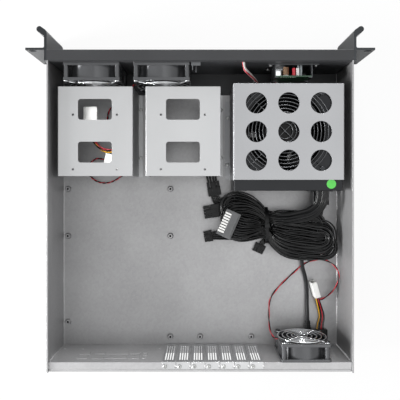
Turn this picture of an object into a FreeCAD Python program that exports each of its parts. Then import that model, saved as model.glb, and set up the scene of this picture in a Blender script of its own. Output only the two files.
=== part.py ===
"""Empty 2U rackmount server case with its lid off, seen from its own frame.

X runs along the front panel, with the drive cages on +X. The front faces -Y and the top is +Z.
The origin is the middle of the bottom of the case's box. All sizes are in millimetres.
"""

import FreeCAD, Part
import math
import os

V = FreeCAD.Vector

# The case as a whole
PANEL_W = 482.6  # over the rack ears, the 19-inch width
CASE_W = 424.0  # over the side walls
CASE_H = 88.0  # two rack units, less a little clearance
CASE_D = 446.3  # front face of the bezel to the rear end of the walls
HANDLE_REACH = 32.1  # handles in front of the bezel
SHEET = 1.0  # steel sheet of the tub, cages and bracket
HEM_H = 10.0  # height of the folded hem at the top of a side wall
BEND_R = 1.5  # inside radius of the floor bends
FIT = 0.2  # clearance round a piece that sits inside another
RUN_FIT = 0.05  # radial clearance of a shaft or button in its bore

# Front bezel, frame and ears
BEZEL_D = 15.2
BEZEL_SHEET = 2.0
FRAME_SHEET = 1.2
FRAME_FLANGE = 32.4  # floor flange of the front frame
EAR_T = 3.0
EAR_PROUD = 2.3  # ear plate in front of the bezel
LEG_T = 3.5  # leg of the ear extrusion beside the bezel
RACK_PITCH_X = 465.1
RACK_EDGE = 5.9  # middle of a rack slot from the top or bottom of the ear
RACK_SLOT_W = 6.8
RACK_SLOT_L = 10.4
KNOB_R = 4.1
LID_TAB_X = 6.0

# Rear panel
WALL_INSET = 13.7  # rear wall's inner face to the rear end of the case
SHELF_DROP = 3.0  # top of the rear shelf below the top of the walls
SHELF_D = 9.5
JOGGLE = 2.0
LIP_D = 2.7
LIP_H = 6.0

# Expansion slots
SLOT_COUNT = 7
SLOT_PITCH = 20.32
SLOT_FIRST_X = 43.7
SLOT_W = 14.0
SLOT_BOTTOM = 12.0
COVER_W = 18.4
COVER_T = 0.8
COVER_BOTTOM = 4.0
COVER_TAB = 9.0
COVER_SCREW_X = 5.2  # screw from the cover's middle, towards the drive cages
COVER_VENTS = 4
VENT_W = 1.8
VENT_PITCH = 3.4

# Board stand-offs, standard ATX places from the first column
MB_X0 = 203.4
MB_SETBACK = 239.5  # first row of stand-offs in front of the rear wall
MB_COLUMNS = (0.0, 157.48, 203.2, 281.94)
MB_ROW_MID = 72.39
MB_ROW_REAR = 227.33
MB_COL0_REAR = 204.47
BOSS_H = 4.0
BOSS_R = 3.2
BOSS_FOOT_R = 4.8
BOSS_HOLE_R = 1.6

# Drive cages
CAGE_W = 105.6
CAGE_D = 125.5
CAGE_TOP = 76.0
CAGE_X = (147.3, 23.9)
CAGE_FOOT = 6.0
WINDOW_W = 47.5
WINDOW_D = 29.3
WINDOW_R = 4.0
WINDOW_OFF_X = 0.3  # windows lie a little off the cage's middle
WINDOW_Y = (32.0, 92.0)  # window centres behind the cage's front edge
DRIVE_PITCH_X = 61.72  # 2.5-inch drive pattern
DRIVE_PITCH_Y = 76.6
DRIVE_HOLE_R = 1.6
DRIVE_FIRST_Y = 39.5
SIDE_HOLE_Z = 20.0
SIDE_HOLES_Y = (12.0, 53.6, 113.6)  # 3.5-inch drive pattern

# Power supply and its bracket
BRACKET_W = 153.5
BRACKET_D = 133.3
BRACKET_DROP = 1.5  # bracket's top below the top of the walls
BRACKET_X = -122.6
BRACKET_FRONT = 46.6  # behind the bezel's front face
BRACKET_FOOT = 7.6
BRACKET_HOLE_R = 14.75
BRACKET_PITCH_X = 44.8
BRACKET_PITCH_Y = 39.7
PSU_W = 150.0
PSU_D = 145.0
PSU_H = 82.0
PSU_PROUD = 14.8  # behind the bracket
PSU_FAN = 120.0
PSU_FAN_X = 5.1  # fan centre from the middle of the supply
PSU_FAN_Y = 82.8  # fan centre in front of the supply's rear face
SEAL_R = 6.5
SEAL_T = 0.2

# Fans: frame size and bolt pitch
FAN_D = 25.0
FAN_FLANGE = 4.0
FRONT_FAN = 80.0
FRONT_FAN_X = (151.4, 53.6)
REAR_FAN = 70.0
REAR_FAN_X = -147.0
FRONT_FAN_PITCH = 71.5
REAR_FAN_PITCH = 60.0
PSU_FAN_PITCH = 105.0
BLADES = 7
BLADE_GAP = 1.3  # blade tip to the fan's bore
HUB_SHARE = 0.24  # hub radius as a share of the frame
SHAFT_R = 1.5
BOLT_R = 1.9
WIRE = 1.6  # wire of a case fan's guard
PSU_WIRE = 1.2
FAN_BOLT = (3.4, 1.8)  # head radius and height
PAN_HEAD = (2.75, 1.6)

# Front switch board
BOARD_X = -132.0
BOARD_W = 50.0
BOARD_H = 44.0
BOARD_T = 1.6
BOARD_BACK = 16.5  # board behind the front frame's wall
BOARD_BOTTOM = 28.0
SOCKET_W = 13.2
SOCKET_H = 15.6
SOCKET_X = 17.0  # from the middle of the board, towards the cages
POWER_X = -2.0
RESET_X = -15.0
BUTTON_Z = 50.0
POWER_R = 5.5
RESET_R = 3.0
BUTTON_TRAVEL = 1.5
LIGHT_R = 1.5
LIGHT_X = (-8.0, -12.0)
LIGHT_Z = 62.0
LEADS_X = -60.5  # hole that the panel's leads pass through
LEADS_Z = 80.0
LEADS_HOLE_R = 3.0

# Mains inlet, sockets and cords
INLET_W = 18.0
INLET_H = 14.0
INLET_X = -164.0
INLET_Z = 9.0
INLET_D = 14.0
MAINS_SOCKET_X = -180.0
MAINS_SOCKET_Z = 22.0
MAINS_CORD_D = 5.8
PAIR_D = 2.8
TAIL_D = 5.0
FRONT_LEADS_D = 4.0
BUNDLE_D = 18.0

# Places that follow from the sizes above
Y_FACE = HANDLE_REACH - (HANDLE_REACH + CASE_D) / 2
Y_END = Y_FACE + CASE_D
Y_FRAME = Y_FACE + BEZEL_D  # front of the frame's wall
Y_FRONT = Y_FRAME + FRAME_SHEET  # inner face of the front wall
Y_WALL = Y_END - WALL_INSET  # inner face of the rear wall
IN_W = CASE_W / 2 - SHEET - BEND_R  # half width between the floor bends
CAGE_Y = Y_FRONT + FRAME_FLANGE + FIT
BRACKET_Y = Y_FACE + BRACKET_FRONT
PSU_REAR = BRACKET_Y + BRACKET_D + PSU_PROUD
PSU_FRONT = PSU_REAR - PSU_D
PSU_TOP = SHEET + PSU_H
SHELF_Z = CASE_H - SHELF_DROP
BRACKET_TOP = CASE_H - BRACKET_DROP
RACK_PITCH_Z = CASE_H - 2 * RACK_EDGE
MB_Y0 = Y_WALL - MB_SETBACK
REAR_FAN_Z = INLET_Z + INLET_H / 2 + FIT + REAR_FAN / 2
FRONT_FAN_Z = SHEET + FRAME_SHEET + 1.0 + FRONT_FAN / 2

nodes = {}


def box(x0, y0, z0, x1, y1, z1):
    """A block between two corners."""
    return Part.makeBox(x1 - x0, y1 - y0, z1 - z0, V(x0, y0, z0))


def rod(x, y, z, r, length, axis=V(0, 0, 1)):
    """A round bar that starts at a point and runs along an axis."""
    return Part.makeCylinder(r, length, V(x, y, z), axis)


def prism(points, way):
    """A closed outline swept along a straight line."""
    return Part.Face(Part.makePolygon([V(*p) for p in points] + [V(*points[0])])).extrude(V(*way))


def rounded_plate(w, d, t, r, x=0.0, y=0.0, z=0.0):
    """A flat plate with round corners, its middle at a point and its underside at z."""
    plate = box(x - w / 2, y - d / 2, z, x + w / 2, y + d / 2, z + t)
    corners = [e for e in plate.Edges if abs(e.Vertexes[0].Z - e.Vertexes[-1].Z) > t / 2]
    return plate.makeFillet(r, corners)


def along_y(shape, x, y, z):
    """A shape made with its own z towards the front, turned and set at a place."""
    turned = shape.copy()
    turned.rotate(V(0, 0, 0), V(1, 0, 0), 90)
    turned.translate(V(x, y, z))
    return turned


def moved(shape, x, y, z, turn=0.0):
    """A copy turned about its own z and set at a place."""
    copy = shape.copy()
    copy.rotate(V(0, 0, 0), V(0, 0, 1), turn)
    copy.translate(V(x, y, z))
    return copy


def joined(shapes):
    """Touching or overlapping solids made into one."""
    return shapes[0].multiFuse(shapes[1:]).removeSplitter() if len(shapes) > 1 else shapes[0]


def add(name, shape):
    nodes[name] = shape


def standoffs():
    """Centres of the board stand-offs that the floor has."""
    rows = {0: (0.0, MB_ROW_MID, MB_COL0_REAR), 1: (0.0, MB_ROW_MID, MB_ROW_REAR)}
    rows.update({2: (MB_ROW_REAR,), 3: (MB_ROW_MID, MB_ROW_REAR)})
    return [(MB_X0 - MB_COLUMNS[c], MB_Y0 + y) for c in rows for y in rows[c]]


def foot_screws():
    """Places where the feet of the cages and of the bracket are screwed to the floor."""
    places = []
    for x in CAGE_X:
        for side in (-1, 1):
            for y in (CAGE_D * 0.18, CAGE_D * 0.77):
                places.append((x + side * (CAGE_W + CAGE_FOOT) / 2, CAGE_Y + y))
    for side in (-1, 1):
        for y in (BRACKET_D * 0.28, BRACKET_D * 0.82):
            places.append((BRACKET_X + side * (BRACKET_W + BRACKET_FOOT) / 2, BRACKET_Y + y))
    return places


def chassis_tub():
    """Floor and side walls folded from one sheet, with hemmed edges and raised stand-offs."""
    half = CASE_W / 2
    tub = box(-half, Y_FRAME, 0, half, Y_END, CASE_H)
    tub = tub.cut(box(-half + SHEET, Y_FRAME, SHEET, half - SHEET, Y_END, CASE_H))
    hems = []
    for side in (-1, 1):
        x0, x1 = sorted((side * (half - SHEET), side * (half - 2 * SHEET)))
        hems.append(box(x0, Y_FRAME, CASE_H - HEM_H, x1, Y_END, CASE_H))
    tub = joined([tub] + hems)

    def bend(edge, x, z):
        a, b = edge.Vertexes[0].Point, edge.Vertexes[-1].Point
        return abs(a.x - b.x) < 0.01 and abs(abs(a.x) - x) < 0.01 and abs(a.z - z) < 0.01 and abs(b.z - z) < 0.01

    tub = tub.makeFillet(BEND_R + SHEET, [e for e in tub.Edges if bend(e, half, 0)])
    tub = tub.makeFillet(BEND_R, [e for e in tub.Edges if bend(e, half - SHEET, SHEET)])
    for x, y in standoffs():
        boss = Part.makeCone(BOSS_FOOT_R, BOSS_R, BOSS_H, V(x, y, SHEET))
        hollow = Part.makeCone(BOSS_FOOT_R - SHEET, BOSS_R - SHEET, BOSS_H, V(x, y, 0))
        if abs(x) + BOSS_FOOT_R > half - SHEET - BEND_R:
            keep = box(-half + SHEET, y - 20, 0, half - SHEET, y + 20, CASE_H)
            boss = boss.common(keep)
        tub = tub.fuse(boss).cut(hollow).cut(rod(x, y, 0, BOSS_HOLE_R, CASE_H))
    for x, y in foot_screws():
        tub = tub.cut(rod(x, y, 0, DRIVE_HOLE_R, SHEET))
    return tub.removeSplitter()


def fan_places():
    """Each chassis fan: name, size, bolt pitch, x, the y of its downstream face, and z."""
    places = [
        ("front_fan_left", FRONT_FAN, FRONT_FAN_PITCH, FRONT_FAN_X[0], Y_FRONT + FAN_D, FRONT_FAN_Z),
        ("front_fan_right", FRONT_FAN, FRONT_FAN_PITCH, FRONT_FAN_X[1], Y_FRONT + FAN_D, FRONT_FAN_Z),
        ("rear_fan", REAR_FAN, REAR_FAN_PITCH, REAR_FAN_X, Y_WALL, REAR_FAN_Z),
    ]
    return places


def fan_corners(pitch, x, z):
    """The four bolt places round a fan's middle."""
    half = pitch / 2
    return [(x + i * half, z + j * half) for i in (-1, 1) for j in (-1, 1)]


def finger_rings(size, count=3, bars=4):
    """Arc slots stamped through a wall, as cutters along +Z, round the middle of a fan."""
    inner, outer = size * HUB_SHARE, size * 0.47
    step = (outer - inner) / count
    cutters = []
    for i in range(count):
        ring = rod(0, 0, 0, inner + (i + 1) * step - 2.0, 4).cut(rod(0, 0, 0, inner + i * step, 4))
        cutters.append(ring)
    slots = Part.makeCompound(cutters)
    for k in range(bars):
        bar = box(-1.6, -size, 0, 1.6, 0, 4)
        bar.rotate(V(0, 0, 0), V(0, 0, 1), 45 + 360 * k / bars)
        slots = slots.cut(bar)
    return slots


def rear_panel():
    """Rear wall, shelf, joggle and lip in one folded sheet, with its openings."""
    back = Y_WALL + SHEET
    shelf = Y_WALL + SHELF_D
    low = SHELF_Z - JOGGLE
    lip = Y_END - SHEET
    outline = [(Y_WALL, SHEET), (Y_WALL, SHELF_Z), (shelf, SHELF_Z), (shelf + 1.5, low), (Y_END, low)]
    outline += [(Y_END, low - LIP_H), (lip, low - LIP_H), (lip, low - SHEET), (shelf + 1.1, low - SHEET)]
    outline += [(shelf - 0.4, SHELF_Z - SHEET), (back, SHELF_Z - SHEET), (back, SHEET)]
    panel = prism([(-IN_W, y, z) for y, z in outline], (2 * IN_W, 0, 0))
    for x in slot_places():
        panel = panel.cut(box(x - SLOT_W / 2, Y_WALL, SLOT_BOTTOM, x + SLOT_W / 2, back, SHELF_Z - 3 * SHEET))
        for dx in (1.2 - SLOT_PITCH / 2, COVER_SCREW_X):
            panel = panel.cut(rod(x + dx, Y_WALL + COVER_TAB * 0.6, low, 1.4, 2 * JOGGLE))
    rings = along_y(finger_rings(REAR_FAN), REAR_FAN_X, back + 1, REAR_FAN_Z)
    panel = panel.cut(rings)
    for x, z in fan_corners(REAR_FAN_PITCH, REAR_FAN_X, REAR_FAN_Z):
        panel = panel.cut(rod(x, Y_WALL, z, BOLT_R + FIT, SHEET, V(0, 1, 0)))
    w, h = INLET_W / 2 + FIT, INLET_H / 2 - 1
    panel = panel.cut(box(INLET_X - w, Y_WALL, INLET_Z - h, INLET_X + w, back, INLET_Z + h))
    for x in (MB_X0, MB_X0 - 27.0, MB_X0 - 143.4):
        panel = panel.cut(rod(x, Y_WALL, 24.6, 1.6, SHEET, V(0, 1, 0)))
    raised = []
    for x, z, w, h in port_places():
        raised.append(box(x - w / 2, Y_WALL - 0.6, z - h / 2, x + w / 2, Y_WALL, z + h / 2))
    for x in (MB_X0 - 114.0, MB_X0 - 124.0):
        for z in (42.0, 54.0, 66.0):
            raised.append(rod(x, Y_WALL - 0.6, z, 3.6, 0.6, V(0, 1, 0)))
    return joined([panel] + raised)


def port_places():
    """Knock-outs for a board's ports: middle x, middle z, width and height."""
    rows = [(-28.0, 64.0, 14.0, 13.0), (-28.0, 45.0, 14.0, 13.0), (-50.0, 64.0, 16.0, 14.0)]
    rows += [(-50.0, 46.0, 15.0, 7.0), (-75.0, 63.0, 31.0, 12.0), (-75.0, 45.0, 31.0, 12.0)]
    rows += [(-101.0, 64.0, 14.0, 14.0), (-101.0, 46.0, 14.0, 7.0)]
    return [(MB_X0 - 8.0 + x, z, w, h) for x, z, w, h in rows]


def slot_places():
    return [SLOT_FIRST_X - i * SLOT_PITCH for i in range(SLOT_COUNT)]


def slot_cover():
    """One vented slot cover, round its own middle, inside the wall with its tab on the shelf."""
    half = COVER_W / 2
    top = SHELF_Z + COVER_T
    y0 = Y_WALL - COVER_T
    foot = half - 3.0
    face = [(-half, COVER_BOTTOM + 5), (-foot, COVER_BOTTOM), (foot, COVER_BOTTOM), (half, COVER_BOTTOM + 5)]
    face += [(half, top), (-half, top)]
    cover = prism([(x, y0, z) for x, z in face], (0, COVER_T, 0))
    tab = [(-half, Y_WALL), (-half, Y_WALL + COVER_TAB), (half, Y_WALL + COVER_TAB), (half, Y_WALL)]
    cover = cover.fuse(prism([(x, y, SHELF_Z) for x, y in tab], (0, 0, COVER_T)))
    notch = rod(-SLOT_PITCH / 2 + 1.2, Y_WALL + COVER_TAB * 0.6, SHELF_Z - 1, 1.7, 4)
    cover = cover.cut(notch).cut(rod(COVER_SCREW_X, Y_WALL + COVER_TAB * 0.6, SHELF_Z - 1, 1.5, 4))
    for i in range(COVER_VENTS):
        x = (i - (COVER_VENTS - 1) / 2) * VENT_PITCH
        vent = box(x - VENT_W / 2, y0 - 1, SLOT_BOTTOM + 3, x + VENT_W / 2, Y_WALL + 1, SHELF_Z - 8)
        cover = cover.cut(vent)
    return cover.removeSplitter()


def front_frame():
    """Black inner front wall with fan openings and a floor flange."""
    frame = box(-IN_W, Y_FRAME, SHEET, IN_W, Y_FRONT, CASE_H - 1)
    flange = box(-IN_W, Y_FRONT, SHEET, IN_W, Y_FRONT + FRAME_FLANGE, SHEET + FRAME_SHEET)
    frame = frame.fuse(flange)
    for name, size, pitch, x, y, z in fan_places()[:2]:
        frame = frame.cut(rod(x, Y_FRAME, z, size * 0.47, FRAME_SHEET, V(0, 1, 0)))
        for cx, cz in fan_corners(pitch, x, z):
            frame = frame.cut(rod(cx, Y_FRAME, cz, BOLT_R + FIT, FRAME_SHEET, V(0, 1, 0)))
    sx, sz = BOARD_X + SOCKET_X, BOARD_BOTTOM + 12 + SOCKET_H / 2
    w, h = SOCKET_W / 2 + FIT, SOCKET_H / 2 + FIT
    frame = frame.cut(box(sx - w, Y_FRAME, sz - h, sx + w, Y_FRONT, sz + h))
    for dx, r in ((POWER_X, 2.6), (RESET_X, 2.6)):
        frame = frame.cut(rod(BOARD_X + dx, Y_FRAME, BUTTON_Z, r, FRAME_SHEET, V(0, 1, 0)))
    for dx in LIGHT_X:
        frame = frame.cut(rod(BOARD_X + dx, Y_FRAME, LIGHT_Z, LIGHT_R + FIT, FRAME_SHEET, V(0, 1, 0)))
    for x, z in bracket_screws_front():
        frame = frame.cut(rod(x, Y_FRAME, z, 1.6, FRAME_SHEET, V(0, 1, 0)))
    frame = frame.cut(rod(LEADS_X, Y_FRAME, LEADS_Z, LEADS_HOLE_R, FRAME_SHEET, V(0, 1, 0)))
    return frame.removeSplitter()


def front_bezel():
    """Front panel folded as a shallow tray, with air slots, button bores and a socket window."""
    half = CASE_W / 2
    tray = box(-half, Y_FACE, 0, half, Y_FRAME, CASE_H)
    front = [e for e in tray.Edges if abs(e.CenterOfMass.y - Y_FACE) < 0.01 and e.Length > CASE_W / 2]
    tray = tray.makeFillet(1.2, front)
    wall = 1.5
    tray = tray.cut(box(-half + wall, Y_FACE + BEZEL_SHEET, wall, half - wall, Y_FRAME, CASE_H - wall))
    for x in FRONT_FAN_X:
        for i in range(-6, 7):
            cx = x + i * 6.0
            h = math.sqrt(max(0.0, (FRONT_FAN * 0.48) ** 2 - (i * 6.0) ** 2))
            tray = tray.cut(box(cx - 1.6, Y_FACE, FRONT_FAN_Z - h, cx + 1.6, Y_FACE + BEZEL_SHEET, FRONT_FAN_Z + h))
    sx, sz = BOARD_X + SOCKET_X, BOARD_BOTTOM + 12 + SOCKET_H / 2
    tray = tray.cut(box(sx - 9, Y_FACE, sz - 10.5, sx + 9, Y_FACE + BEZEL_SHEET, sz + 10.5))
    for dx, r in ((POWER_X, POWER_R), (RESET_X, RESET_R)):
        tray = tray.cut(rod(BOARD_X + dx, Y_FACE, BUTTON_Z, r + RUN_FIT, BEZEL_SHEET, V(0, 1, 0)))
    for dx in LIGHT_X:
        tray = tray.cut(rod(BOARD_X + dx, Y_FACE, LIGHT_Z, LIGHT_R + RUN_FIT, BEZEL_SHEET, V(0, 1, 0)))
    return tray.removeSplitter()


def ear_handle(side):
    """Aluminium extrusion, the full height of the case: ear plate, neck and outward knob."""
    x0 = CASE_W / 2
    x1 = x0 + LEG_T
    tip = PANEL_W / 2
    ear_front = Y_FACE - EAR_PROUD
    ear_back = ear_front + EAR_T
    nose = Y_FACE - HANDLE_REACH + KNOB_R
    knob = V(x0 + 9.8, nose, 0)
    profile = prism([(x0, ear_front, 0), (x0, Y_FRAME, 0), (x1, Y_FRAME, 0), (x1, ear_front, 0)], (0, 0, CASE_H))
    ear = box(x0, ear_front, 0, tip, ear_back, CASE_H)
    neck = box(x0, nose + 4.5, 0, x1, ear_front, CASE_H)
    arm = [(x0, nose + 9.5), (x0, nose + 4.0), (x0 + 1.6, nose + 0.9), (knob.x - 1.9, nose - 3.64)]
    arm += [(knob.x + 1.9, nose + 3.64), (x1, nose + 9.5)]
    arm = prism([(x, y, 0) for x, y in arm], (0, 0, CASE_H))
    shape = joined([profile, ear, neck, arm, rod(knob.x, knob.y, 0, KNOB_R, CASE_H)])
    fillet_at = [(x1, ear_front), (x1, nose + 9.5)]

    def inner(edge):
        a, b = edge.Vertexes[0].Point, edge.Vertexes[-1].Point
        upright = abs(a.x - b.x) < 0.01 and abs(a.y - b.y) < 0.01
        return upright and any(abs(a.x - x) < 0.01 and abs(a.y - y) < 0.01 for x, y in fillet_at)

    shape = shape.makeFillet(2.0, [e for e in shape.Edges if inner(e)])
    for z in (CASE_H / 2 - RACK_PITCH_Z / 2, CASE_H / 2 + RACK_PITCH_Z / 2):
        r, run = RACK_SLOT_W / 2, (RACK_SLOT_L - RACK_SLOT_W) / 2
        cx = RACK_PITCH_X / 2
        slot = box(cx - run, ear_front - 1, z - r, cx + run, ear_back + 1, z + r)
        ends = [rod(cx + s * run, ear_front - 1, z, r, EAR_T + 2, V(0, 1, 0)) for s in (-1, 1)]
        shape = shape.cut(joined([slot] + ends))
    return shape if side > 0 else shape.mirror(V(0, 0, 0), V(1, 0, 0))


def drive_cage(cx):
    """Inverted channel for one drive, with windows, drive holes and screwed feet."""
    half = CAGE_W / 2
    y0, y1 = CAGE_Y, CAGE_Y + CAGE_D
    shell = box(cx - half, y0, SHEET, cx + half, y1, CAGE_TOP)
    top = [e for e in shell.Edges if abs(e.CenterOfMass.z - CAGE_TOP) < 0.01 and e.Length > CAGE_D - 1]
    shell = shell.makeFillet(1.5, top)
    shell = shell.cut(box(cx - half + SHEET, y0, SHEET, cx + half - SHEET, y1, CAGE_TOP - SHEET))
    feet = []
    for side in (-1, 1):
        a, b = sorted((cx + side * half, cx + side * (half + CAGE_FOOT)))
        feet.append(box(a, y0, SHEET, b, y1, 2 * SHEET))
        a, b = sorted((cx + side * half, cx + side * (half - SHEET)))
        feet.append(box(a, y0, SHEET, b, y1, 2 * SHEET))
    cage = joined([shell] + feet)
    for y in WINDOW_Y:
        hole = rounded_plate(WINDOW_W, WINDOW_D, 4, WINDOW_R, cx + WINDOW_OFF_X, y0 + y, CAGE_TOP - 3)
        cage = cage.cut(hole)
    for i in (-1, 1):
        for j in (0, 1):
            x = cx + WINDOW_OFF_X + i * DRIVE_PITCH_X / 2
            cage = cage.cut(rod(x, y0 + DRIVE_FIRST_Y + j * DRIVE_PITCH_Y, CAGE_TOP - 3, DRIVE_HOLE_R, 4))
    for y in SIDE_HOLES_Y:
        cage = cage.cut(rod(cx - half - 1, y0 + y, SIDE_HOLE_Z, 1.9, CAGE_W + 2, V(1, 0, 0)))
    for x, y in foot_screws():
        if abs(x - cx) < half + CAGE_FOOT:
            cage = cage.cut(rod(x, y, SHEET, DRIVE_HOLE_R, SHEET))
    return cage.removeSplitter()


def psu_bracket():
    """Folded bracket over the power supply, with nine air holes and screwed feet."""
    half = BRACKET_W / 2
    y0, y1 = BRACKET_Y, BRACKET_Y + BRACKET_D
    shell = box(BRACKET_X - half, y0, SHEET, BRACKET_X + half, y1, BRACKET_TOP)
    top = [e for e in shell.Edges if abs(e.CenterOfMass.z - BRACKET_TOP) < 0.01 and e.Length < CASE_W / 2
           and abs(e.CenterOfMass.x - BRACKET_X) > half - 0.01]
    shell = shell.makeFillet(1.5, top)
    inside = box(BRACKET_X - half + SHEET, y0, SHEET, BRACKET_X + half - SHEET, y1, BRACKET_TOP - SHEET)
    parts = [shell.cut(inside)]
    for side in (-1, 1):
        a, b = sorted((BRACKET_X + side * (half - SHEET), BRACKET_X + side * (half + BRACKET_FOOT)))
        parts.append(box(a, y0 + 12, SHEET, b, y1, 2 * SHEET))
    flange_top = SHEET + FRAME_SHEET + FIT
    notch = box(BRACKET_X - half, y0, SHEET, BRACKET_X + half, Y_FRONT + FRAME_FLANGE + FIT, flange_top)
    bracket = joined(parts).cut(notch)
    for i in (-1, 0, 1):
        for j in (-1, 0, 1):
            x, y = BRACKET_X + i * BRACKET_PITCH_X, (y0 + y1) / 2 + j * BRACKET_PITCH_Y
            bracket = bracket.cut(rod(x, y, BRACKET_TOP - 3, BRACKET_HOLE_R, 4))
    for x, y in foot_screws():
        if abs(x - BRACKET_X) < half + BRACKET_FOOT:
            bracket = bracket.cut(rod(x, y, SHEET, DRIVE_HOLE_R, SHEET))
    return bracket.removeSplitter()


def psu_case():
    """Bottom, front and rear of the power supply's box."""
    half = PSU_W / 2
    base = [box(BRACKET_X - half, PSU_FRONT, SHEET, BRACKET_X + half, PSU_REAR, 2 * SHEET)]
    base.append(box(BRACKET_X - half, PSU_FRONT, SHEET, BRACKET_X + half, PSU_FRONT + SHEET, PSU_TOP - SHEET))
    base.append(box(BRACKET_X - half, PSU_REAR - SHEET, SHEET, BRACKET_X + half, PSU_REAR, PSU_TOP - SHEET))
    case = joined(base)
    w, h = 13.7, 10.2
    x, z = MAINS_SOCKET_X, MAINS_SOCKET_Z
    case = case.cut(box(x - w, PSU_REAR - 2, z - h, x + w, PSU_REAR + 1, z + h))
    for i in range(12):
        vx = BRACKET_X + (i - 5.5) * 10
        case = case.cut(box(vx - 2, PSU_FRONT - 1, 20, vx + 2, PSU_FRONT + 2, 62))
    return case.cut(rod(*BUNDLE_EXIT, BUNDLE_D / 2 + FIT, 3, V(0, 1, 0)).translated(V(0, -2, 0)))


def psu_cover():
    """Top and sides of the power supply's box, open over its fan."""
    half = PSU_W / 2
    cover = box(BRACKET_X - half - 0.4, PSU_FRONT - 0.4, 2 * SHEET, BRACKET_X + half + 0.4, PSU_REAR + 0.4, PSU_TOP)
    inner = box(BRACKET_X - half, PSU_FRONT - 1, 0, BRACKET_X + half, PSU_REAR + 1, PSU_TOP - SHEET)
    rim = [e for e in cover.Edges if abs(e.CenterOfMass.z - PSU_TOP) < 0.01]
    cover = cover.makeFillet(1.2, rim).cut(inner)
    x, y = psu_fan_middle()
    cover = cover.cut(rod(x, y, PSU_TOP - 2, PSU_FAN * 0.485, 4))
    for dx in (-1, 1):
        for dy in (-1, 1):
            half_pitch = PSU_FAN_PITCH / 2
            cover = cover.cut(rod(x + dx * half_pitch, y + dy * half_pitch, PSU_TOP - 2, BOLT_R + FIT, 4))
    return cover


def psu_fan_middle():
    return BRACKET_X + PSU_FAN_X, PSU_REAR - PSU_FAN_Y


def fan_frame(size, bolt_pitch):
    """Fan housing, round its own axis: flanges, barrel, motor mount, arms and shaft."""
    pitch, bore = bolt_pitch / 2, size * 0.47
    flange = rounded_plate(size, size, FAN_FLANGE, 3.0)
    parts = [flange, flange.translated(V(0, 0, FAN_D - FAN_FLANGE))]
    barrel = rod(0, 0, 0, bore + 1.7, FAN_D)
    parts.append(barrel.common(rounded_plate(size, size, FAN_D, 3.0)))
    for i in (-1, 1):
        for j in (-1, 1):
            parts.append(rod(i * pitch, j * pitch, 0, BOLT_R + FIT + 1.4, FAN_D))
    frame = joined(parts).cut(rod(0, 0, 0, bore, FAN_D))
    for i in (-1, 1):
        for j in (-1, 1):
            frame = frame.cut(rod(i * pitch, j * pitch, 0, BOLT_R + FIT, FAN_D))
    mount = [rod(0, 0, 0, size * HUB_SHARE, 3.0), rod(0, 0, 0, SHAFT_R, FAN_D - 5)]
    for k in range(4):
        arm = box(-2.0, 0, 0, 2.0, bore + 0.8, 2.6)
        arm.rotate(V(0, 0, 0), V(0, 0, 1), 30 + 90 * k)
        mount.append(arm)
    return joined([frame] + mount)


def fan_rotor(size):
    """Hub cup with swept blades, bored for the shaft."""
    hub_r, tip = size * HUB_SHARE, size * 0.47 - BLADE_GAP
    low, high = 3.6, FAN_D - 1.6
    blades = []
    for k in range(BLADES):
        wires = []
        for r, turn, chord in ((hub_r - 1.5, 48, 17.5), (tip + 1.5, 30, 0.62 * size * HUB_SHARE + 17)):
            along = V(0, math.cos(math.radians(turn)), math.sin(math.radians(turn)))
            across = V(0, -along.z, along.y)
            mid = V(r, 0, (low + high) / 2)
            corner = [mid + along * (a * chord / 2) + across * (b * 0.6) for a, b in ((-1, -1), (1, -1), (1, 1), (-1, 1))]
            wires.append(Part.makePolygon(corner + [corner[0]]))
        blade = Part.makeLoft(wires, True, True)
        blade.rotate(V(0, 0, 0), V(0, 0, 1), 360 * k / BLADES)
        blades.append(blade)
    limit = rod(0, 0, low, tip, high - low)
    hub = rod(0, 0, low, hub_r, high - low)
    rim = [e for e in hub.Edges if abs(e.CenterOfMass.z - high) < 0.01]
    hub = hub.makeChamfer(1.0, rim)
    rotor = joined([hub] + [b.common(limit) for b in blades])
    rotor = rotor.cut(rod(0, 0, 0, hub_r - 1.8, high - 3.0).cut(rod(0, 0, 0, SHAFT_R + 2.0, high)))
    return rotor.cut(rod(0, 0, 0, SHAFT_R + RUN_FIT, FAN_D - 4.6))


def wire_guard(size, bolt_pitch, wire, rings=4):
    """Finger guard: rings on two crossed bars, with a lug at each bolt."""
    pitch = bolt_pitch / 2
    outer = size * 0.48
    parts = []
    for i in range(rings):
        r = outer * (0.32 + 0.68 * i / (rings - 1))
        parts.append(rod(0, 0, wire * 0.8, r, wire).cut(rod(0, 0, wire * 0.8, r - wire, wire)))
    reach = pitch * math.sqrt(2)
    for turn in (45, 135):
        bar = box(-reach, -wire / 2, 0, reach, wire / 2, wire)
        bar.rotate(V(0, 0, 0), V(0, 0, 1), turn)
        parts.append(bar)
    for i in (-1, 1):
        for j in (-1, 1):
            parts.append(rod(i * pitch, j * pitch, 0, BOLT_R + 2.2, wire))
    guard = joined(parts)
    for i in (-1, 1):
        for j in (-1, 1):
            guard = guard.cut(rod(i * pitch, j * pitch, 0, BOLT_R + FIT, 2 * wire))
    return guard


def screw(length, head_r, head_h, shank_r):
    """A bevelled screw head with its seat at z = 0 and its shank downwards."""
    bevel = head_h * 0.4
    head = rod(0, 0, 0, head_r, head_h - bevel)
    top = Part.makeCone(head_r, head_r - bevel, bevel, V(0, 0, head_h - bevel))
    return joined([head, top, rod(0, 0, -length, shank_r, length)])


def bracket_screws_front():
    """Screws of the switch board's bracket in the front wall."""
    return [(BOARD_X + s * (BOARD_W / 2 + 7), BOARD_BOTTOM + BOARD_H * f) for s in (-1, 1) for f in (0.2, 0.85)]


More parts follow.
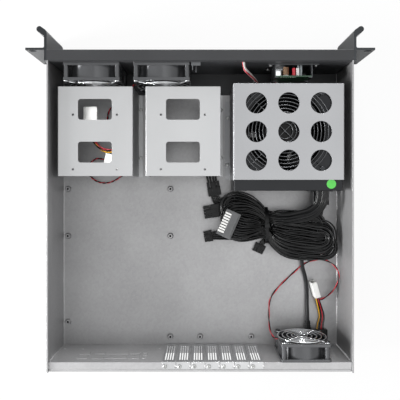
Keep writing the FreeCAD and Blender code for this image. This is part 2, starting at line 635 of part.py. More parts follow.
def switch_bracket():
    """Two-legged bracket that holds the board behind the front wall."""
    back = Y_FRONT + BOARD_BACK
    z0, z1 = BOARD_BOTTOM, BOARD_BOTTOM + BOARD_H
    parts = []
    for s in (-1, 1):
        inner = BOARD_X + s * BOARD_W / 2
        a, b = sorted((inner + s * 0.2, inner + s * 1.2))
        parts.append(box(a, Y_FRONT, z0, b, back + BOARD_T, z1))
        c, d = sorted((inner + s * 0.2, inner + s * 11))
        parts.append(box(c, Y_FRONT, z0, d, Y_FRONT + 1, z1))
        e, f = sorted((inner + s * 1.2, inner - s * 4))
        parts.append(box(e, back + BOARD_T, z0 + 6, f, back + BOARD_T + 1, z0 + 14))
        parts.append(box(e, back + BOARD_T, z1 - 10, f, back + BOARD_T + 1, z1))
    strap = box(BOARD_X - BOARD_W / 2, Y_FRONT, z1 - 6, BOARD_X + BOARD_W / 2, Y_FRONT + 1, z1)
    bracket = joined(parts + [strap])
    for x, z in bracket_screws_front():
        bracket = bracket.cut(rod(x, Y_FRONT, z, 1.6, 1, V(0, 1, 0)))
    return bracket


def switch_board():
    """The board's plate with rows of solder pins."""
    back = Y_FRONT + BOARD_BACK
    board = box(BOARD_X - BOARD_W / 2, back, BOARD_BOTTOM, BOARD_X + BOARD_W / 2, back + BOARD_T, BOARD_BOTTOM + BOARD_H)
    pins = [box(BOARD_X + 10 - i * 4, back + BOARD_T, BOARD_BOTTOM + 2, BOARD_X + 11 - i * 4, back + BOARD_T + 5, BOARD_BOTTOM + 3)
            for i in range(5)]
    return joined([board] + pins)


def twin_socket():
    """Two stacked data sockets that reach through the front frame."""
    x, back = BOARD_X + SOCKET_X, Y_FRONT + BOARD_BACK
    z = BOARD_BOTTOM + 12
    shell = box(x - SOCKET_W / 2, Y_FRAME, z, x + SOCKET_W / 2, back, z + SOCKET_H)
    for k in (0, 1):
        zc = z + 1.0 + k * 7.4
        mouth = box(x - 6.0, Y_FRAME, zc, x + 6.0, Y_FRAME + 14, zc + 6.2)
        tongue = box(x - 5.2, Y_FRAME + 1, zc + 2.2, x + 5.2, Y_FRAME + 14, zc + 4.0)
        shell = shell.cut(mouth.cut(tongue))
    return shell


def panel_switches():
    """Two push switches on the board, each with a collar that the plunger meets."""
    back = Y_FRONT + BOARD_BACK
    bodies = []
    for dx in (POWER_X, RESET_X):
        x = BOARD_X + dx
        body = box(x - 5, back - 6, BUTTON_Z - 5, x + 5, back, BUTTON_Z + 5)
        bodies.append(joined([body, rod(x, back - 9, BUTTON_Z, 2.4, 3, V(0, 1, 0))]))
    return Part.makeCompound(bodies)


def push_button(dx, r):
    """A button cap in the bezel with its collar and plunger."""
    x = BOARD_X + dx
    cap = rod(x, Y_FACE - 1.8, BUTTON_Z, r, BEZEL_SHEET + 2.4, V(0, 1, 0))
    edge = [e for e in cap.Edges if abs(e.CenterOfMass.y - (Y_FACE - 1.8)) < 0.01]
    cap = cap.makeChamfer(0.5, edge)
    collar = rod(x, Y_FACE + BEZEL_SHEET + 0.1, BUTTON_Z, r + 1.2, 1.4, V(0, 1, 0))
    stem_end = Y_FRONT + BOARD_BACK - 9 - BUTTON_TRAVEL - 0.4
    stem = rod(x, Y_FACE + BEZEL_SHEET, BUTTON_Z, 2.0, stem_end - Y_FACE - BEZEL_SHEET, V(0, 1, 0))
    return joined([cap, collar, stem])


def status_lights():
    """Two small light pipes from the board to the bezel."""
    lights = []
    for dx in LIGHT_X:
        x = BOARD_X + dx
        pipe = rod(x, Y_FACE - 0.4, LIGHT_Z, LIGHT_R, BOARD_BACK + Y_FRONT - Y_FACE + 0.4, V(0, 1, 0))
        lights.append(pipe)
    return Part.makeCompound(lights)


def lid_tab():
    """Small bent tab on the front wall that the lid hooks behind."""
    x, top = LID_TAB_X, CASE_H - 4.0
    plate = box(x - 6.5, Y_FRONT, top - 22, x + 6.5, Y_FRONT + 1.2, top)
    parts = [plate, box(x - 6.5, Y_FRONT, top - 1.2, x + 6.5, Y_FRONT + 5, top)]
    parts.append(box(x - 1.5, Y_FRONT, top - 22, x + 1.5, Y_FRONT + 10, top - 20.8))
    parts.append(box(x + 4, Y_FRONT, top - 14, x + 5.2, Y_FRONT + 11, top))
    return joined(parts)


def inlet(x, y, z, w, h, depth, wall):
    """A mains inlet: body inside, flange outside the wall, and a socket mouth with three blades."""
    body = box(x - w / 2, y - depth, z - h / 2 + 1, x + w / 2, y + wall, z + h / 2 - 1)
    flange = box(x - w / 2 - 3, y + wall, z - h / 2, x + w / 2 + 3, y + wall + 2, z + h / 2)
    shape = joined([body, flange])
    mouth = box(x - w / 2 + 1.5, y - depth + 3, z - h / 2 + 2, x + w / 2 - 1.5, y + wall + 2, z + h / 2 - 2)
    shape = shape.cut(mouth)
    blades = [box(x + d - 1, y - depth + 2, z - 1.6, x + d + 1, y - 1, z + 1.6) for d in (-w / 4, 0, w / 4)]
    return joined([shape] + blades)


def mains_plug(w, h, length, cord_d, relief):
    """A moulded plug with its tapered strain relief, pointing along +Y from its mating face."""
    body = box(-w / 2, 0, -h / 2, w / 2, length, h / 2)
    body = body.makeFillet(2.0, [e for e in body.Edges if abs(abs(e.CenterOfMass.x) - w / 2) < 0.01 and abs(abs(e.CenterOfMass.z) - h / 2) < 0.01])
    cone = Part.makeCone(min(w, h) * 0.42, cord_d / 2 + 0.8, relief, V(0, length, 0), V(0, 1, 0))
    return body.fuse(cone).removeSplitter()


def white_plug():
    """Four-pole plug, 21 wide, lying flat with its wires on the +Y side."""
    body = box(-10.5, -12, 0, 10.5, 12, 8.6)
    side = [e for e in body.Edges if abs(abs(e.CenterOfMass.x) - 10.5) < 0.01 and abs(e.CenterOfMass.z - 8.6) < 0.01]
    body = body.makeChamfer(2.0, side)
    for i in range(4):
        body = body.cut(rod((i - 1.5) * 5.08, -13, 4.3, 1.7, 13, V(0, 1, 0)))
    return body


def cable_plug(w, d, h, poles, rows):
    """A power plug of square cells, wires on its +Y side, lying flat."""
    body = box(-w / 2, -d / 2, 0, w / 2, d / 2, h)
    latch = box(-3, -d / 2, h, 3, d / 2 - 4, h + 1.6)
    body = joined([body, latch])
    cell = w / poles
    for i in range(poles):
        for k in range(rows):
            x, z = (i - (poles - 1) / 2) * cell, (k + 0.5) * h / rows
            body = body.cut(box(x - cell * 0.32, -d / 2, z - cell * 0.32, x + cell * 0.32, -d / 2 + 6, z + cell * 0.32))
    return body


def tube(name, points, diameter):
    """Round cord along straight runs and tangent arcs through hand-chosen points."""
    pts = [V(*p) for p in points]
    runs = [(b - a).Length for a, b in zip(pts, pts[1:])]
    edges, start, radii = [], pts[0], []
    for i in range(1, len(pts) - 1):
        d0, d1 = (pts[i] - pts[i - 1]).normalize(), (pts[i + 1] - pts[i]).normalize()
        turn = d0.getAngle(d1)
        r = 0.45 * min(runs[i - 1], runs[i]) / math.tan(turn / 2)
        cut = r * math.tan(turn / 2)
        a, b = pts[i] - d0 * cut, pts[i] + d1 * cut
        middle = (d1 - d0).normalize()
        centre = pts[i] + middle * (r / math.cos(turn / 2))
        edges.append(Part.LineSegment(start, a).toShape())
        edges.append(Part.Arc(a, centre - middle * r, b).toShape())
        radii.append(round(r / diameter, 1))
        start = b
    edges.append(Part.LineSegment(start, pts[-1]).toShape())
    path = Part.Wire(edges)
    section = Part.Wire(Part.Circle(pts[0], (pts[1] - pts[0]).normalize(), diameter / 2).toShape())
    cord = path.makePipeShell([section], True, False)
    expected = math.pi * diameter ** 2 / 4 * path.Length
    print(f"{name}: {path.Length:.1f} mm, radii in diameters {radii}, volume ratio {cord.Volume / expected:.4f}")
    return cord


# Cord routes, chosen by hand over the photograph
BUNDLE_EXIT = (-179.0, PSU_REAR, 48.0)
BUNDLE = [BUNDLE_EXIT, (-179.0, -1.0, 48.0), (-175.0, 12.0, 44.0), (-163.0, 23.0, 38.0), (-146.0, 27.5, 33.0)]
PLUG_BACK = PSU_REAR + 2.0 + 20.0 + 18.0  # end of the mains plug's strain relief
BOOT_END = Y_WALL - INLET_D - 24.5  # end of the inlet plug's strain relief
MAINS = [(MAINS_SOCKET_X, PLUG_BACK, MAINS_SOCKET_Z), (-180.0, 36.0, 22.0), (-175.0, 50.0, 12.0)]
MAINS += [(-165.0, 66.0, 7.0), (-155.0, 86.0, 7.4), (-156.0, 104.0, 7.4), (-161.5, 121.0, 5.0)]
MAINS += [(-164.0, 138.0, 4.4), (-164.0, 160.0, 5.2), (INLET_X, BOOT_END - 7.0, INLET_Z), (INLET_X, BOOT_END, INLET_Z)]
REAR_LEAD = [(-112.0, 202.5, 50.0), (-106.5, 202.5, 50.0), (-105.0, 200.0, 22.0), (-105.6, 188.0, 4.6)]
REAR_LEAD += [(-105.8, 172.0, 2.5), (-107.0, 156.0, 2.5), (-116.0, 142.0, 2.5), (-130.0, 127.5, 2.5)]
REAR_LEAD += [(-145.5, 113.5, 2.5), (-158.0, 102.0, 2.5), (-173.0, 95.5, 3.0), (-189.0, 93.5, 7.0)]
REAR_LEAD += [(-203.0, 100.0, 16.0), (-208.6, 112.0, 24.0), (-207.8, 127.0, 22.0), (-202.0, 141.0, 13.0)]
REAR_LEAD += [(-190.5, 154.4, 5.0), (-180.7, 157.0, 4.1), (-178.9, 150.6, 4.1)]
REAR_TAIL = [(-177.7, 150.5, 13.0), (-179.4, 156.6, 12.6), (-184.5, 170.0, 5.5), (-187.5, 183.0, 4.0)]
REAR_TAIL += [(-184.2, 194.0, 5.0), (-184.2, 201.2, 5.0)]
LEFT_LEAD = [(FRONT_FAN_X[0] - FRONT_FAN / 2, Y_FRONT + 23.0, 12.0), (105.5, -167.7, 12.0), (104.0, -160.0, 6.0)]
LEFT_LEAD += [(109.0, -152.0, 3.6), (121.0, -147.0, 3.6), (134.0, -142.5, 3.6), (142.0, -132.0, 3.6)]
LEFT_LEAD += [(142.5, -118.0, 3.6), (149.0, -107.0, 3.6), (160.0, -104.0, 4.4), (164.0, -109.0, 5.0), (164.0, -116.0, 5.0)]
FRONT_TAIL = [(171.0, -116.0, 5.0), (171.0, -108.0, 5.0), (166.0, -94.0, 3.7), (154.0, -84.0, 3.7)]
FRONT_TAIL += [(138.0, -80.0, 3.7), (122.0, -79.0, 3.7), (110.5, -73.0, 3.7), (106.5, -63.0, 3.7)]
FRONT_TAIL += [(110.5, -56.5, 4.4), (118.0, -57.4, 5.0), (127.9, -59.5, 5.0)]
RIGHT_LEAD = [(FRONT_FAN_X[1] + FRONT_FAN / 2, Y_FRONT + 23.0, 40.0), (99.5, -167.7, 40.0), (100.5, -160.0, 24.0)]
RIGHT_LEAD += [(102.0, -148.0, 10.0), (106.0, -136.0, 3.6), (108.0, -120.0, 3.6), (103.0, -104.0, 3.6), (99.0, -86.0, 3.6)]
RIGHT_LEAD += [(99.5, -64.0, 3.6), (109.0, -44.0, 3.6), (126.0, -29.0, 3.6), (143.0, -22.0, 3.6), (160.0, -25.0, 3.6)]
RIGHT_LEAD += [(172.0, -36.0, 3.6), (173.0, -52.0, 3.6), (163.0, -64.0, 4.0), (158.0, -65.9, 5.0), (151.5, -64.5, 5.0)]
FRONT_LEADS = [(-113.5, Y_FRONT + BOARD_BACK + BOARD_T, 30.6), (-113.5, -166.2, 30.6), (-107.0, -164.8, 22.0)]
FRONT_LEADS += [(-97.0, -164.8, 15.0), (-89.0, -166.0, 24.0), (-82.0, -171.0, 44.0), (-74.0, -175.5, 62.0)]
FRONT_LEADS += [(-66.0, -178.5, 75.0), (LEADS_X, -184.5, LEADS_Z), (LEADS_X, Y_FRAME - 2.0, LEADS_Z)]


def cable_hank():
    """Outer shape of the tied cable hank: two lobes and a waist, with room for the mains cord under it."""
    stations = [(-207.0, 45.0, 6.0, 9.0, 20.0), (-193.0, 55.0, 25.0, 4.0, 34.0), (-179.0, 59.0, 32.0, 3.0, 38.0)]
    stations += [(-150.0, 52.0, 37.0, 3.0, 38.0), (-121.0, 50.0, 36.0, 4.0, 36.0), (-107.0, 43.0, 29.0, 6.0, 34.0)]
    stations += [(-99.0, 40.0, 26.0, 7.6, 31.0), (-90.0, 35.0, 29.0, 7.6, 33.0), (-72.0, 33.0, 38.0, 7.6, 36.0)]
    stations += [(-56.0, 32.0, 40.0, 3.0, 35.0), (-42.0, 34.0, 34.0, 3.0, 30.0), (-33.0, 50.0, 14.0, 4.0, 18.0)]
    wires = []
    for x, yc, half, z0, z1 in stations:
        points = []
        for k in range(12):
            a = 2 * math.pi * k / 12
            points.append(V(x, yc + half * math.cos(a), (z0 + z1) / 2 + (z1 - z0) / 2 * math.sin(a)))
        wires.append(Part.makePolygon(points + [points[0]]))
    return Part.makeLoft(wires, True, True)


def build():
    add("chassis_tub", chassis_tub())
    add("rear_panel", rear_panel())
    add("front_frame", front_frame())
    add("front_bezel", front_bezel())
    add("ear_handle_left", ear_handle(1))
    add("ear_handle_right", ear_handle(-1))
    for i, x in enumerate(slot_places()):
        add(f"slot_cover_{i + 1}", slot_cover().translated(V(x, 0, 0)))
    add("drive_cage_left", drive_cage(CAGE_X[0]))
    add("drive_cage_right", drive_cage(CAGE_X[1]))
    add("psu_bracket", psu_bracket())
    add("psu_case", psu_case())
    add("psu_cover", psu_cover())

    px, py = psu_fan_middle()
    fan_z = PSU_TOP - SHEET - FAN_D
    add("psu_fan_frame", fan_frame(PSU_FAN, PSU_FAN_PITCH).translated(V(px, py, fan_z)))
    add("psu_fan_rotor", fan_rotor(PSU_FAN).translated(V(px, py, fan_z)))
    add("psu_fan_guard", wire_guard(PSU_FAN, PSU_FAN_PITCH, PSU_WIRE).translated(V(px, py, PSU_TOP)))
    add("psu_socket", inlet(MAINS_SOCKET_X, PSU_REAR - SHEET, MAINS_SOCKET_Z, 27.0, 22.0, 18.0, SHEET))
    add("green_seal", rod(BRACKET_X - 59.5, PSU_REAR - 9.0, PSU_TOP, SEAL_R, SEAL_T))

    bolts = []
    for name, size, pitch, x, y, z in fan_places():
        guard_y = y if name != "rear_fan" else y - FAN_D
        add(name + "_frame", along_y(fan_frame(size, pitch), x, y, z))
        add(name + "_rotor", along_y(fan_rotor(size), x, y, z))
        guard = wire_guard(size, pitch, WIRE)
        if name == "rear_fan":
            add(name + "_guard", along_y(guard, x, guard_y, z))
        else:
            add(name + "_guard", along_y(guard.mirror(V(0, 0, 0), V(0, 0, 1)), x, guard_y, z))
        for bx, bz in fan_corners(pitch, x, z):
            if name == "rear_fan":
                bolt = along_y(screw(FAN_D + WIRE + SHEET + 3, *FAN_BOLT, BOLT_R), bx, y - FAN_D - WIRE, bz)
            else:
                bolt = screw(FAN_D + WIRE + FRAME_SHEET + 3, *FAN_BOLT, BOLT_R).mirror(V(0, 0, 0), V(0, 0, 1))
                bolt = along_y(bolt, bx, y + WIRE, bz)
            bolts.append(bolt)
    for dx in (-1, 1):
        for dy in (-1, 1):
            half_pitch = PSU_FAN_PITCH / 2
            bolt = screw(10.0, FAN_BOLT[0], 0.9, BOLT_R)
            bolts.append(bolt.translated(V(px + dx * half_pitch, py + dy * half_pitch, PSU_TOP + PSU_WIRE)))
    add("fan_bolts", Part.makeCompound(bolts))

    add("switch_bracket", switch_bracket())
    add("switch_board", switch_board())
    add("twin_socket", twin_socket())
    add("panel_switches", panel_switches())
    add("power_button", push_button(POWER_X, POWER_R))
    add("reset_button", push_button(RESET_X, RESET_R))
    add("status_lights", status_lights())
    add("lid_tab", lid_tab())

    screws = [screw(2 * SHEET, *PAN_HEAD, 1.4).translated(V(x, y, 2 * SHEET)) for x, y in foot_screws()]
    for x, z in bracket_screws_front():
        turned = screw(3.5, *PAN_HEAD, 1.4).mirror(V(0, 0, 0), V(0, 0, 1))
        screws.append(along_y(turned, x, Y_FRONT + 1, z))
    add("bracket_screws", Part.makeCompound(screws))
    seat = V(COVER_SCREW_X, Y_WALL + COVER_TAB * 0.6, SHELF_Z + COVER_T)
    tabs = [screw(4.0, 3.0, 2.0, 1.3).translated(seat + V(x, 0, 0)) for x in slot_places()]
    add("slot_screws", Part.makeCompound(tabs))

    plug = mains_plug(24.0, 15.5, 20.0, MAINS_CORD_D, 18.0)
    add("mains_plug", plug.translated(V(MAINS_SOCKET_X, PSU_REAR + 2.0, MAINS_SOCKET_Z)))
    rear = mains_plug(16.0, 12.0, 10.5, MAINS_CORD_D, 14.0)
    rear.rotate(V(0, 0, 0), V(0, 0, 1), 180)
    add("inlet_boot", rear.translated(V(INLET_X, Y_WALL - INLET_D, INLET_Z)))
    add("power_inlet", inlet(INLET_X, Y_WALL, INLET_Z, INLET_W, INLET_H, INLET_D, SHEET))
    cord = tube("power_cord", MAINS, MAINS_CORD_D)
    add("power_cord", cord)
    bundle = tube("psu_cable_bundle", BUNDLE, BUNDLE_D)
    channel = tube("mains channel", MAINS, MAINS_CORD_D + 0.8)
    hank = cable_hank().cut(bundle).cut(channel).cut(plug_room())
    add("cable_hank", hank)
    add("psu_cable_bundle", bundle)
    add("rear_fan_lead", tube("rear_fan_lead", REAR_LEAD, PAIR_D))
    add("rear_tail_lead", tube("rear_tail_lead", REAR_TAIL, TAIL_D))
    add("front_left_lead", tube("front_left_lead", LEFT_LEAD, PAIR_D))
    add("front_tail_lead", tube("front_tail_lead", FRONT_TAIL, TAIL_D))
    add("front_right_lead", tube("front_right_lead", RIGHT_LEAD, PAIR_D))
    add("front_panel_leads", tube("front_panel_leads", FRONT_LEADS, FRONT_LEADS_D))

    add("main_plug", moved(cable_plug(40.0, 22.0, 9.6, 10, 2), -41.7, 37.3, 35.3, 66))
    add("processor_plug", moved(cable_plug(20.0, 26.0, 9.6, 4, 2), -18.5, 20.0, 1.2, 100))
    side = [moved(cable_plug(20.0, 22.0, 8.0, 4, 1), -21.0, -14.5, 1.2, 10)]
    side.append(moved(cable_plug(17.0, 13.0, 6.0, 5, 1), -12.5, 58.5, 1.2, 100))
    side.append(moved(cable_plug(17.0, 14.0, 6.0, 4, 1), -90.5, 77.0, 1.2, 155))
    add("drive_plugs", Part.makeCompound(side))
    on_edge = white_plug()
    on_edge.rotate(V(0, 0, 4.3), V(0, 1, 0), 90)
    rear_plugs = [moved(on_edge, -174.5, 138.5, 7.4, 15.4), moved(white_plug(), -184.2, 213.3, 1.2, 180)]
    add("rear_fan_plugs", Part.makeCompound(rear_plugs))
    front_plugs = [moved(white_plug(), 168.0, -128.0, 1.2), moved(white_plug(), 139.7, -62.0, 1.2, 78)]
    add("front_fan_plugs", Part.makeCompound(front_plugs))


def plug_room():
    """Room in the hank for the mains plug."""
    return box(MAINS_SOCKET_X - 12.6, PSU_REAR, MAINS_SOCKET_Z - 8.4, MAINS_SOCKET_X + 12.6, PLUG_BACK + 1.0, MAINS_SOCKET_Z + 8.4)


build()
os.makedirs("parts", exist_ok=True)
for node, solid in nodes.items():
    solid.exportStep(f"parts/{node}.step")
box_all = Part.makeCompound(list(nodes.values())).BoundBox
print(len(nodes), "nodes, box", [round(v, 2) for v in (box_all.XMin, box_all.XMax, box_all.YMin, box_all.YMax, box_all.ZMin, box_all.ZMax)])
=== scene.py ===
# %% [markdown]
# # An empty rackmount case with its lid off
# The case lies on a pale floor and is seen from straight above. Its sheet parts, fans and handles
# come from the CAD frame, which gives their place and shape. This script adds the finish of every
# part, and the pieces that CAD leaves plain: wires, plugs, fan guards and screw heads.

# %% Load the frame
import bpy
import bmesh
import math
from mathutils import Matrix, Vector


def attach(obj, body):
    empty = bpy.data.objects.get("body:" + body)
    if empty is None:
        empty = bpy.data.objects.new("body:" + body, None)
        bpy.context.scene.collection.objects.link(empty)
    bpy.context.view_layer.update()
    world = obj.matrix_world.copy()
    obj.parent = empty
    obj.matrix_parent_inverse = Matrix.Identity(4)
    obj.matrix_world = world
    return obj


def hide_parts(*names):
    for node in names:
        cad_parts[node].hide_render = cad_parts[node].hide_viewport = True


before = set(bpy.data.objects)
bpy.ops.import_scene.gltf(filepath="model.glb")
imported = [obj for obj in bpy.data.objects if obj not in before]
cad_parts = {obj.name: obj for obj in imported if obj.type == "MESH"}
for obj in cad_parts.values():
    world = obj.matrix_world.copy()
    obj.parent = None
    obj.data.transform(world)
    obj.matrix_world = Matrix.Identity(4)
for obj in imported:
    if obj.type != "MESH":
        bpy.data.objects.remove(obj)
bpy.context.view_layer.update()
MM = 0.001

# %% [markdown]
# ## Camera, light and floor
# The lens looks straight down, so the walls lean outwards in the picture, and the front panel is
# at its top. A long lens would flatten the walls, so its height above the floor matters.

# %% Camera over the case
lens = bpy.data.cameras.new("lens")
lens.lens = 47.61
lens.sensor_width = 36
lens.shift_x = -0.0005
lens.shift_y = -0.0375
camera = bpy.data.objects.new("camera", lens)
camera.location = (0, -0.020, 0.8174)
camera.rotation_euler = (0, 0, math.pi)
bpy.context.scene.collection.objects.link(camera)
bpy.context.scene.camera = camera
bpy.context.scene.view_settings.view_transform = "Standard"
print("camera height", camera.location.z)


# %% Helpers for colours and nodes
def colour(code):
    """A colour written as in a paint program, as the linear values that shaders use."""
    parts = [int(code[i:i + 2], 16) / 255 for i in (0, 2, 4)]
    linear = [p / 12.92 if p <= 0.04045 else ((p + 0.055) / 1.055) ** 2.4 for p in parts]
    return (*linear, 1.0)


def put(tree, kind, inputs=None, **settings):
    """Adds a shader node. Each input takes a value, or a link from a socket."""
    new = tree.nodes.new("ShaderNode" + kind)
    for name, value in settings.items():
        setattr(new, name, value)
    for name, value in (inputs or {}).items():
        if isinstance(value, bpy.types.NodeSocket):
            tree.links.new(value, new.inputs[name])
        else:
            new.inputs[name].default_value = value
    return new


print("white is", colour("ffffff"))

# %% [markdown]
# A wide lamp behind on the picture's left and one overhead give soft light under a dim sky. A low lamp on
# the left reaches the right wall and leaves the left wall in shade, and a low one in front reaches the
# rear wall. Rays from the camera and from metal see a white studio instead of that dim sky.

# %% Sky and lamps
world = bpy.data.worlds.new("studio")
bpy.context.scene.world = world
world.use_nodes = True
sky = world.node_tree
sky.nodes.clear()
ray = put(sky, "LightPath")
seen = ray.outputs["Is Camera Ray"]
for kind in ("Is Glossy Ray", "Is Transmission Ray"):
    seen = put(sky, "Math", {0: seen, 1: ray.outputs[kind]}, operation="MAXIMUM").outputs[0]
dim = put(sky, "Background", {"Color": (0.386, 0.386, 0.389, 1.0), "Strength": 1.0})
white = put(sky, "Background", {"Color": (1.0, 1.0, 1.0, 1.0), "Strength": 1.0})
both = put(sky, "MixShader", {0: seen, 1: dim.outputs[0], 2: white.outputs[0]})
put(sky, "OutputWorld", {"Surface": both.outputs[0]})


def lamp(name, place, size, power):
    """A square lamp that faces the middle of the case."""
    light = bpy.data.lights.new(name, "AREA")
    light.size = size
    light.energy = power
    holder = bpy.data.objects.new(name, light)
    holder.location = place
    holder.rotation_euler = (-Vector(place)).to_track_quat("-Z", "Y").to_euler()
    bpy.context.scene.collection.objects.link(holder)
    return power


total = lamp("key", (0.95, 1.3, 0.85), size=0.9, power=12)
total += lamp("fill", (-0.5, 0.1, 1.8), size=1.4, power=6.5)
total += lamp("side", (1.6, 0.25, 0.42), size=0.7, power=55)
total += lamp("front", (-0.2, -1.5, 0.27), size=0.45, power=24)
print("four lamps of", total, "W in all")

# %% Pale floor
# Under the case the floor is black, so that no light comes up through the holes in the case.
UNDER_CASE_MIDDLE_Y = 0.0125
UNDER_CASE_HALF = {"X": 0.2105, "Y": 0.2125}
GLOW_SHARE = 0.92
PALENESS = 0.9
floor_mesh = bpy.data.meshes.new("floor")
bm = bmesh.new()
bmesh.ops.create_grid(bm, x_segments=1, y_segments=1, size=4.0)
bmesh.ops.translate(bm, verts=bm.verts, vec=(0, 0, -0.0003))
bm.to_mesh(floor_mesh)
bm.free()
floor = bpy.data.objects.new("floor", floor_mesh)
bpy.context.scene.collection.objects.link(floor)
floor_look = bpy.data.materials.new("pale_floor")
floor_look.use_nodes = True
tree = floor_look.node_tree
tree.nodes.clear()
ray = put(tree, "LightPath")
place = put(tree, "TexCoord").outputs["Object"]
shift = put(tree, "Mapping", {"Vector": place, "Location": (0.0, -UNDER_CASE_MIDDLE_Y, 0.0)})
under = put(tree, "SeparateXYZ", {"Vector": shift.outputs[0]})
beside = []
for axis, half in UNDER_CASE_HALF.items():
    away = put(tree, "Math", {0: under.outputs[axis]}, operation="ABSOLUTE")
    beside.append(put(tree, "Math", {0: away.outputs[0], 1: half}, operation="GREATER_THAN"))
open_floor = put(tree, "Math", {0: beside[0].outputs[0], 1: beside[1].outputs[0]}, operation="MAXIMUM")
direct = put(tree, "Math", {0: ray.outputs["Is Camera Ray"], 1: GLOW_SHARE}, operation="MULTIPLY")
direct = put(tree, "Math", {0: direct.outputs[0], 1: open_floor.outputs[0]}, operation="MULTIPLY")
pale = put(tree, "Math", {0: open_floor.outputs[0], 1: PALENESS}, operation="MULTIPLY")
matt = put(tree, "BsdfDiffuse", {"Color": pale.outputs[0]})
glow = put(tree, "Emission", {"Color": (1.0, 1.0, 1.0, 1.0), "Strength": 1.0})
mix = put(tree, "MixShader", {0: direct.outputs[0], 1: matt.outputs[0], 2: glow.outputs[0]})
put(tree, "OutputMaterial", {"Surface": mix.outputs[0]})
floor_mesh.materials.append(floor_look)
print("floor is", floor.dimensions.x, "m wide")

# %% [markdown]
# ## Finishes
# Sheet steel, powder coat, moulded plastic and wire insulation differ in three things: how much the
# tone drifts over centimetres, how fine and how stretched the grain is, and how sharp reflections
# are. One recipe with those as sizes in millimetres serves them all, with an edge softened a little,
# because a real edge always catches some light.


# %% The shared recipe for a surface
def finish(name, dark, light, rough, metal=0.0, drift_mm=60.0, grain_mm=1.0, stretch=(1, 1, 1), bump=0.1,
           edge_mm=0.25, cells_mm=0.0, coat=0.0, shine=0.5):
    """A finish whose tone drifts between two colours, with a fine grain in tone, gloss and height.
    shine is the strength of plain reflections, which is low for vinyl and dull plastic."""
    made = bpy.data.materials.new(name)
    made.use_nodes = True
    tree = made.node_tree
    tree.nodes.clear()
    place = put(tree, "TexCoord").outputs["Object"]
    fine = put(tree, "Mapping", {"Vector": place, "Scale": [s / (grain_mm * MM) for s in stretch]})
    fine = put(tree, "TexNoise", {"Vector": fine.outputs[0], "Scale": 1.0, "Detail": 3.0, "Roughness": 0.6})
    broad = put(tree, "TexNoise", {"Vector": place, "Scale": 1 / (drift_mm * MM), "Detail": 2.0})
    tone = put(tree, "Math", {0: fine.outputs[0], 1: 0.35, 2: broad.outputs[0]}, operation="MULTIPLY_ADD")
    if cells_mm:
        cells = put(tree, "TexVoronoi", {"Vector": place, "Scale": 1 / (cells_mm * MM)})
        grey = put(tree, "RGBToBW", {"Color": cells.outputs["Color"]})
        tone = put(tree, "Math", {0: grey.outputs[0], 1: 0.3, 2: tone.outputs[0]}, operation="MULTIPLY_ADD")
    span = put(tree, "MapRange", {"Value": tone.outputs[0], "From Min": 0.35, "From Max": 1.15})
    paint = put(tree, "Mix", {"Factor": span.outputs[0]}, data_type="RGBA")
    paint.inputs[6].default_value = colour(dark)
    paint.inputs[7].default_value = colour(light)
    gloss = put(tree, "MapRange", {"Value": fine.outputs[0], "To Min": rough * 0.85,
                                   "To Max": rough * 1.15})
    soft = put(tree, "Bevel", {"Radius": edge_mm * MM}, samples=4)
    height = put(tree, "Bump", {"Height": fine.outputs[0], "Strength": bump, "Distance": 0.3 * MM,
                                "Normal": soft.outputs[0]})
    body = put(tree, "BsdfPrincipled", {"Base Color": paint.outputs[2], "Roughness": gloss.outputs[0],
                                        "Metallic": metal, "Normal": height.outputs[0], "Coat Weight": coat,
                                        "Specular IOR Level": shine})
    put(tree, "OutputMaterial", {"Surface": body.outputs[0]})
    return made


# %% [markdown]
# The tub and the rear panel are hot-dipped galvanised steel: dull, with a faint crystal pattern a few
# millimetres across. The cages and the bracket are brighter electro-plated sheet, and the slot covers
# are nickel plated, with a brushed grain along them. Front parts wear black powder coat, which has the
# texture of orange peel.

# %% Metal and paint
LOOKS = {}
LOOKS["tub"] = finish("galvanised_sheet", "919192", "a7a7a8", rough=0.42, metal=0.6, drift_mm=90,
                      grain_mm=0.5, stretch=(1, 0.25, 1), bump=0.06, edge_mm=0.3, cells_mm=3.0)
LOOKS["rear"] = finish("galvanised_rear", "a5a5a6", "bababb", rough=0.38, metal=0.6, drift_mm=70,
                       grain_mm=0.5, stretch=(1, 1, 0.25), bump=0.06, edge_mm=0.3, cells_mm=3.0)
LOOKS["cage"] = finish("plated_sheet", "a9aaab", "b9babb", rough=0.46, metal=1.0, drift_mm=110,
                       grain_mm=0.45, stretch=(1, 0.15, 1), bump=0.08)
LOOKS["bracket"] = finish("plated_bracket", "949597", "a3a4a6", rough=0.48, metal=1.0, drift_mm=110,
                          grain_mm=0.45, stretch=(1, 0.15, 1), bump=0.08)
LOOKS["cover"] = finish("nickel_sheet", "b8b9ba", "cfd0d1", rough=0.3, metal=1.0, drift_mm=40, grain_mm=0.3,
                        stretch=(1, 0.1, 0.1), bump=0.05, edge_mm=0.2)
LOOKS["powder"] = finish("black_powder_coat", "2d2e30", "3b3c3e", rough=0.5, drift_mm=80, grain_mm=0.7,
                         bump=0.22, edge_mm=0.35, shine=0.35)
LOOKS["ear"] = finish("anodised_extrusion", "37393b", "434547", rough=0.36, metal=1.0, grain_mm=0.35,
                      stretch=(1, 1, 0.03), bump=0.12, edge_mm=0.35)
LOOKS["supply"] = finish("dark_plated_steel", "222325", "2c2d2f", rough=0.42, metal=0.6, drift_mm=70,
                         grain_mm=0.5, stretch=(0.2, 1, 1), bump=0.06, edge_mm=0.3, shine=0.3)
LOOKS["chrome"] = finish("chromed_wire", "cfd1d3", "e2e4e6", rough=0.16, metal=1.0, drift_mm=30,
                         grain_mm=0.6, bump=0.03, edge_mm=0.1)
LOOKS["dull"] = finish("dull_zinc_sheet", "5a5c5e", "6b6d6f", rough=0.5, metal=1.0, drift_mm=25,
                       grain_mm=0.4)
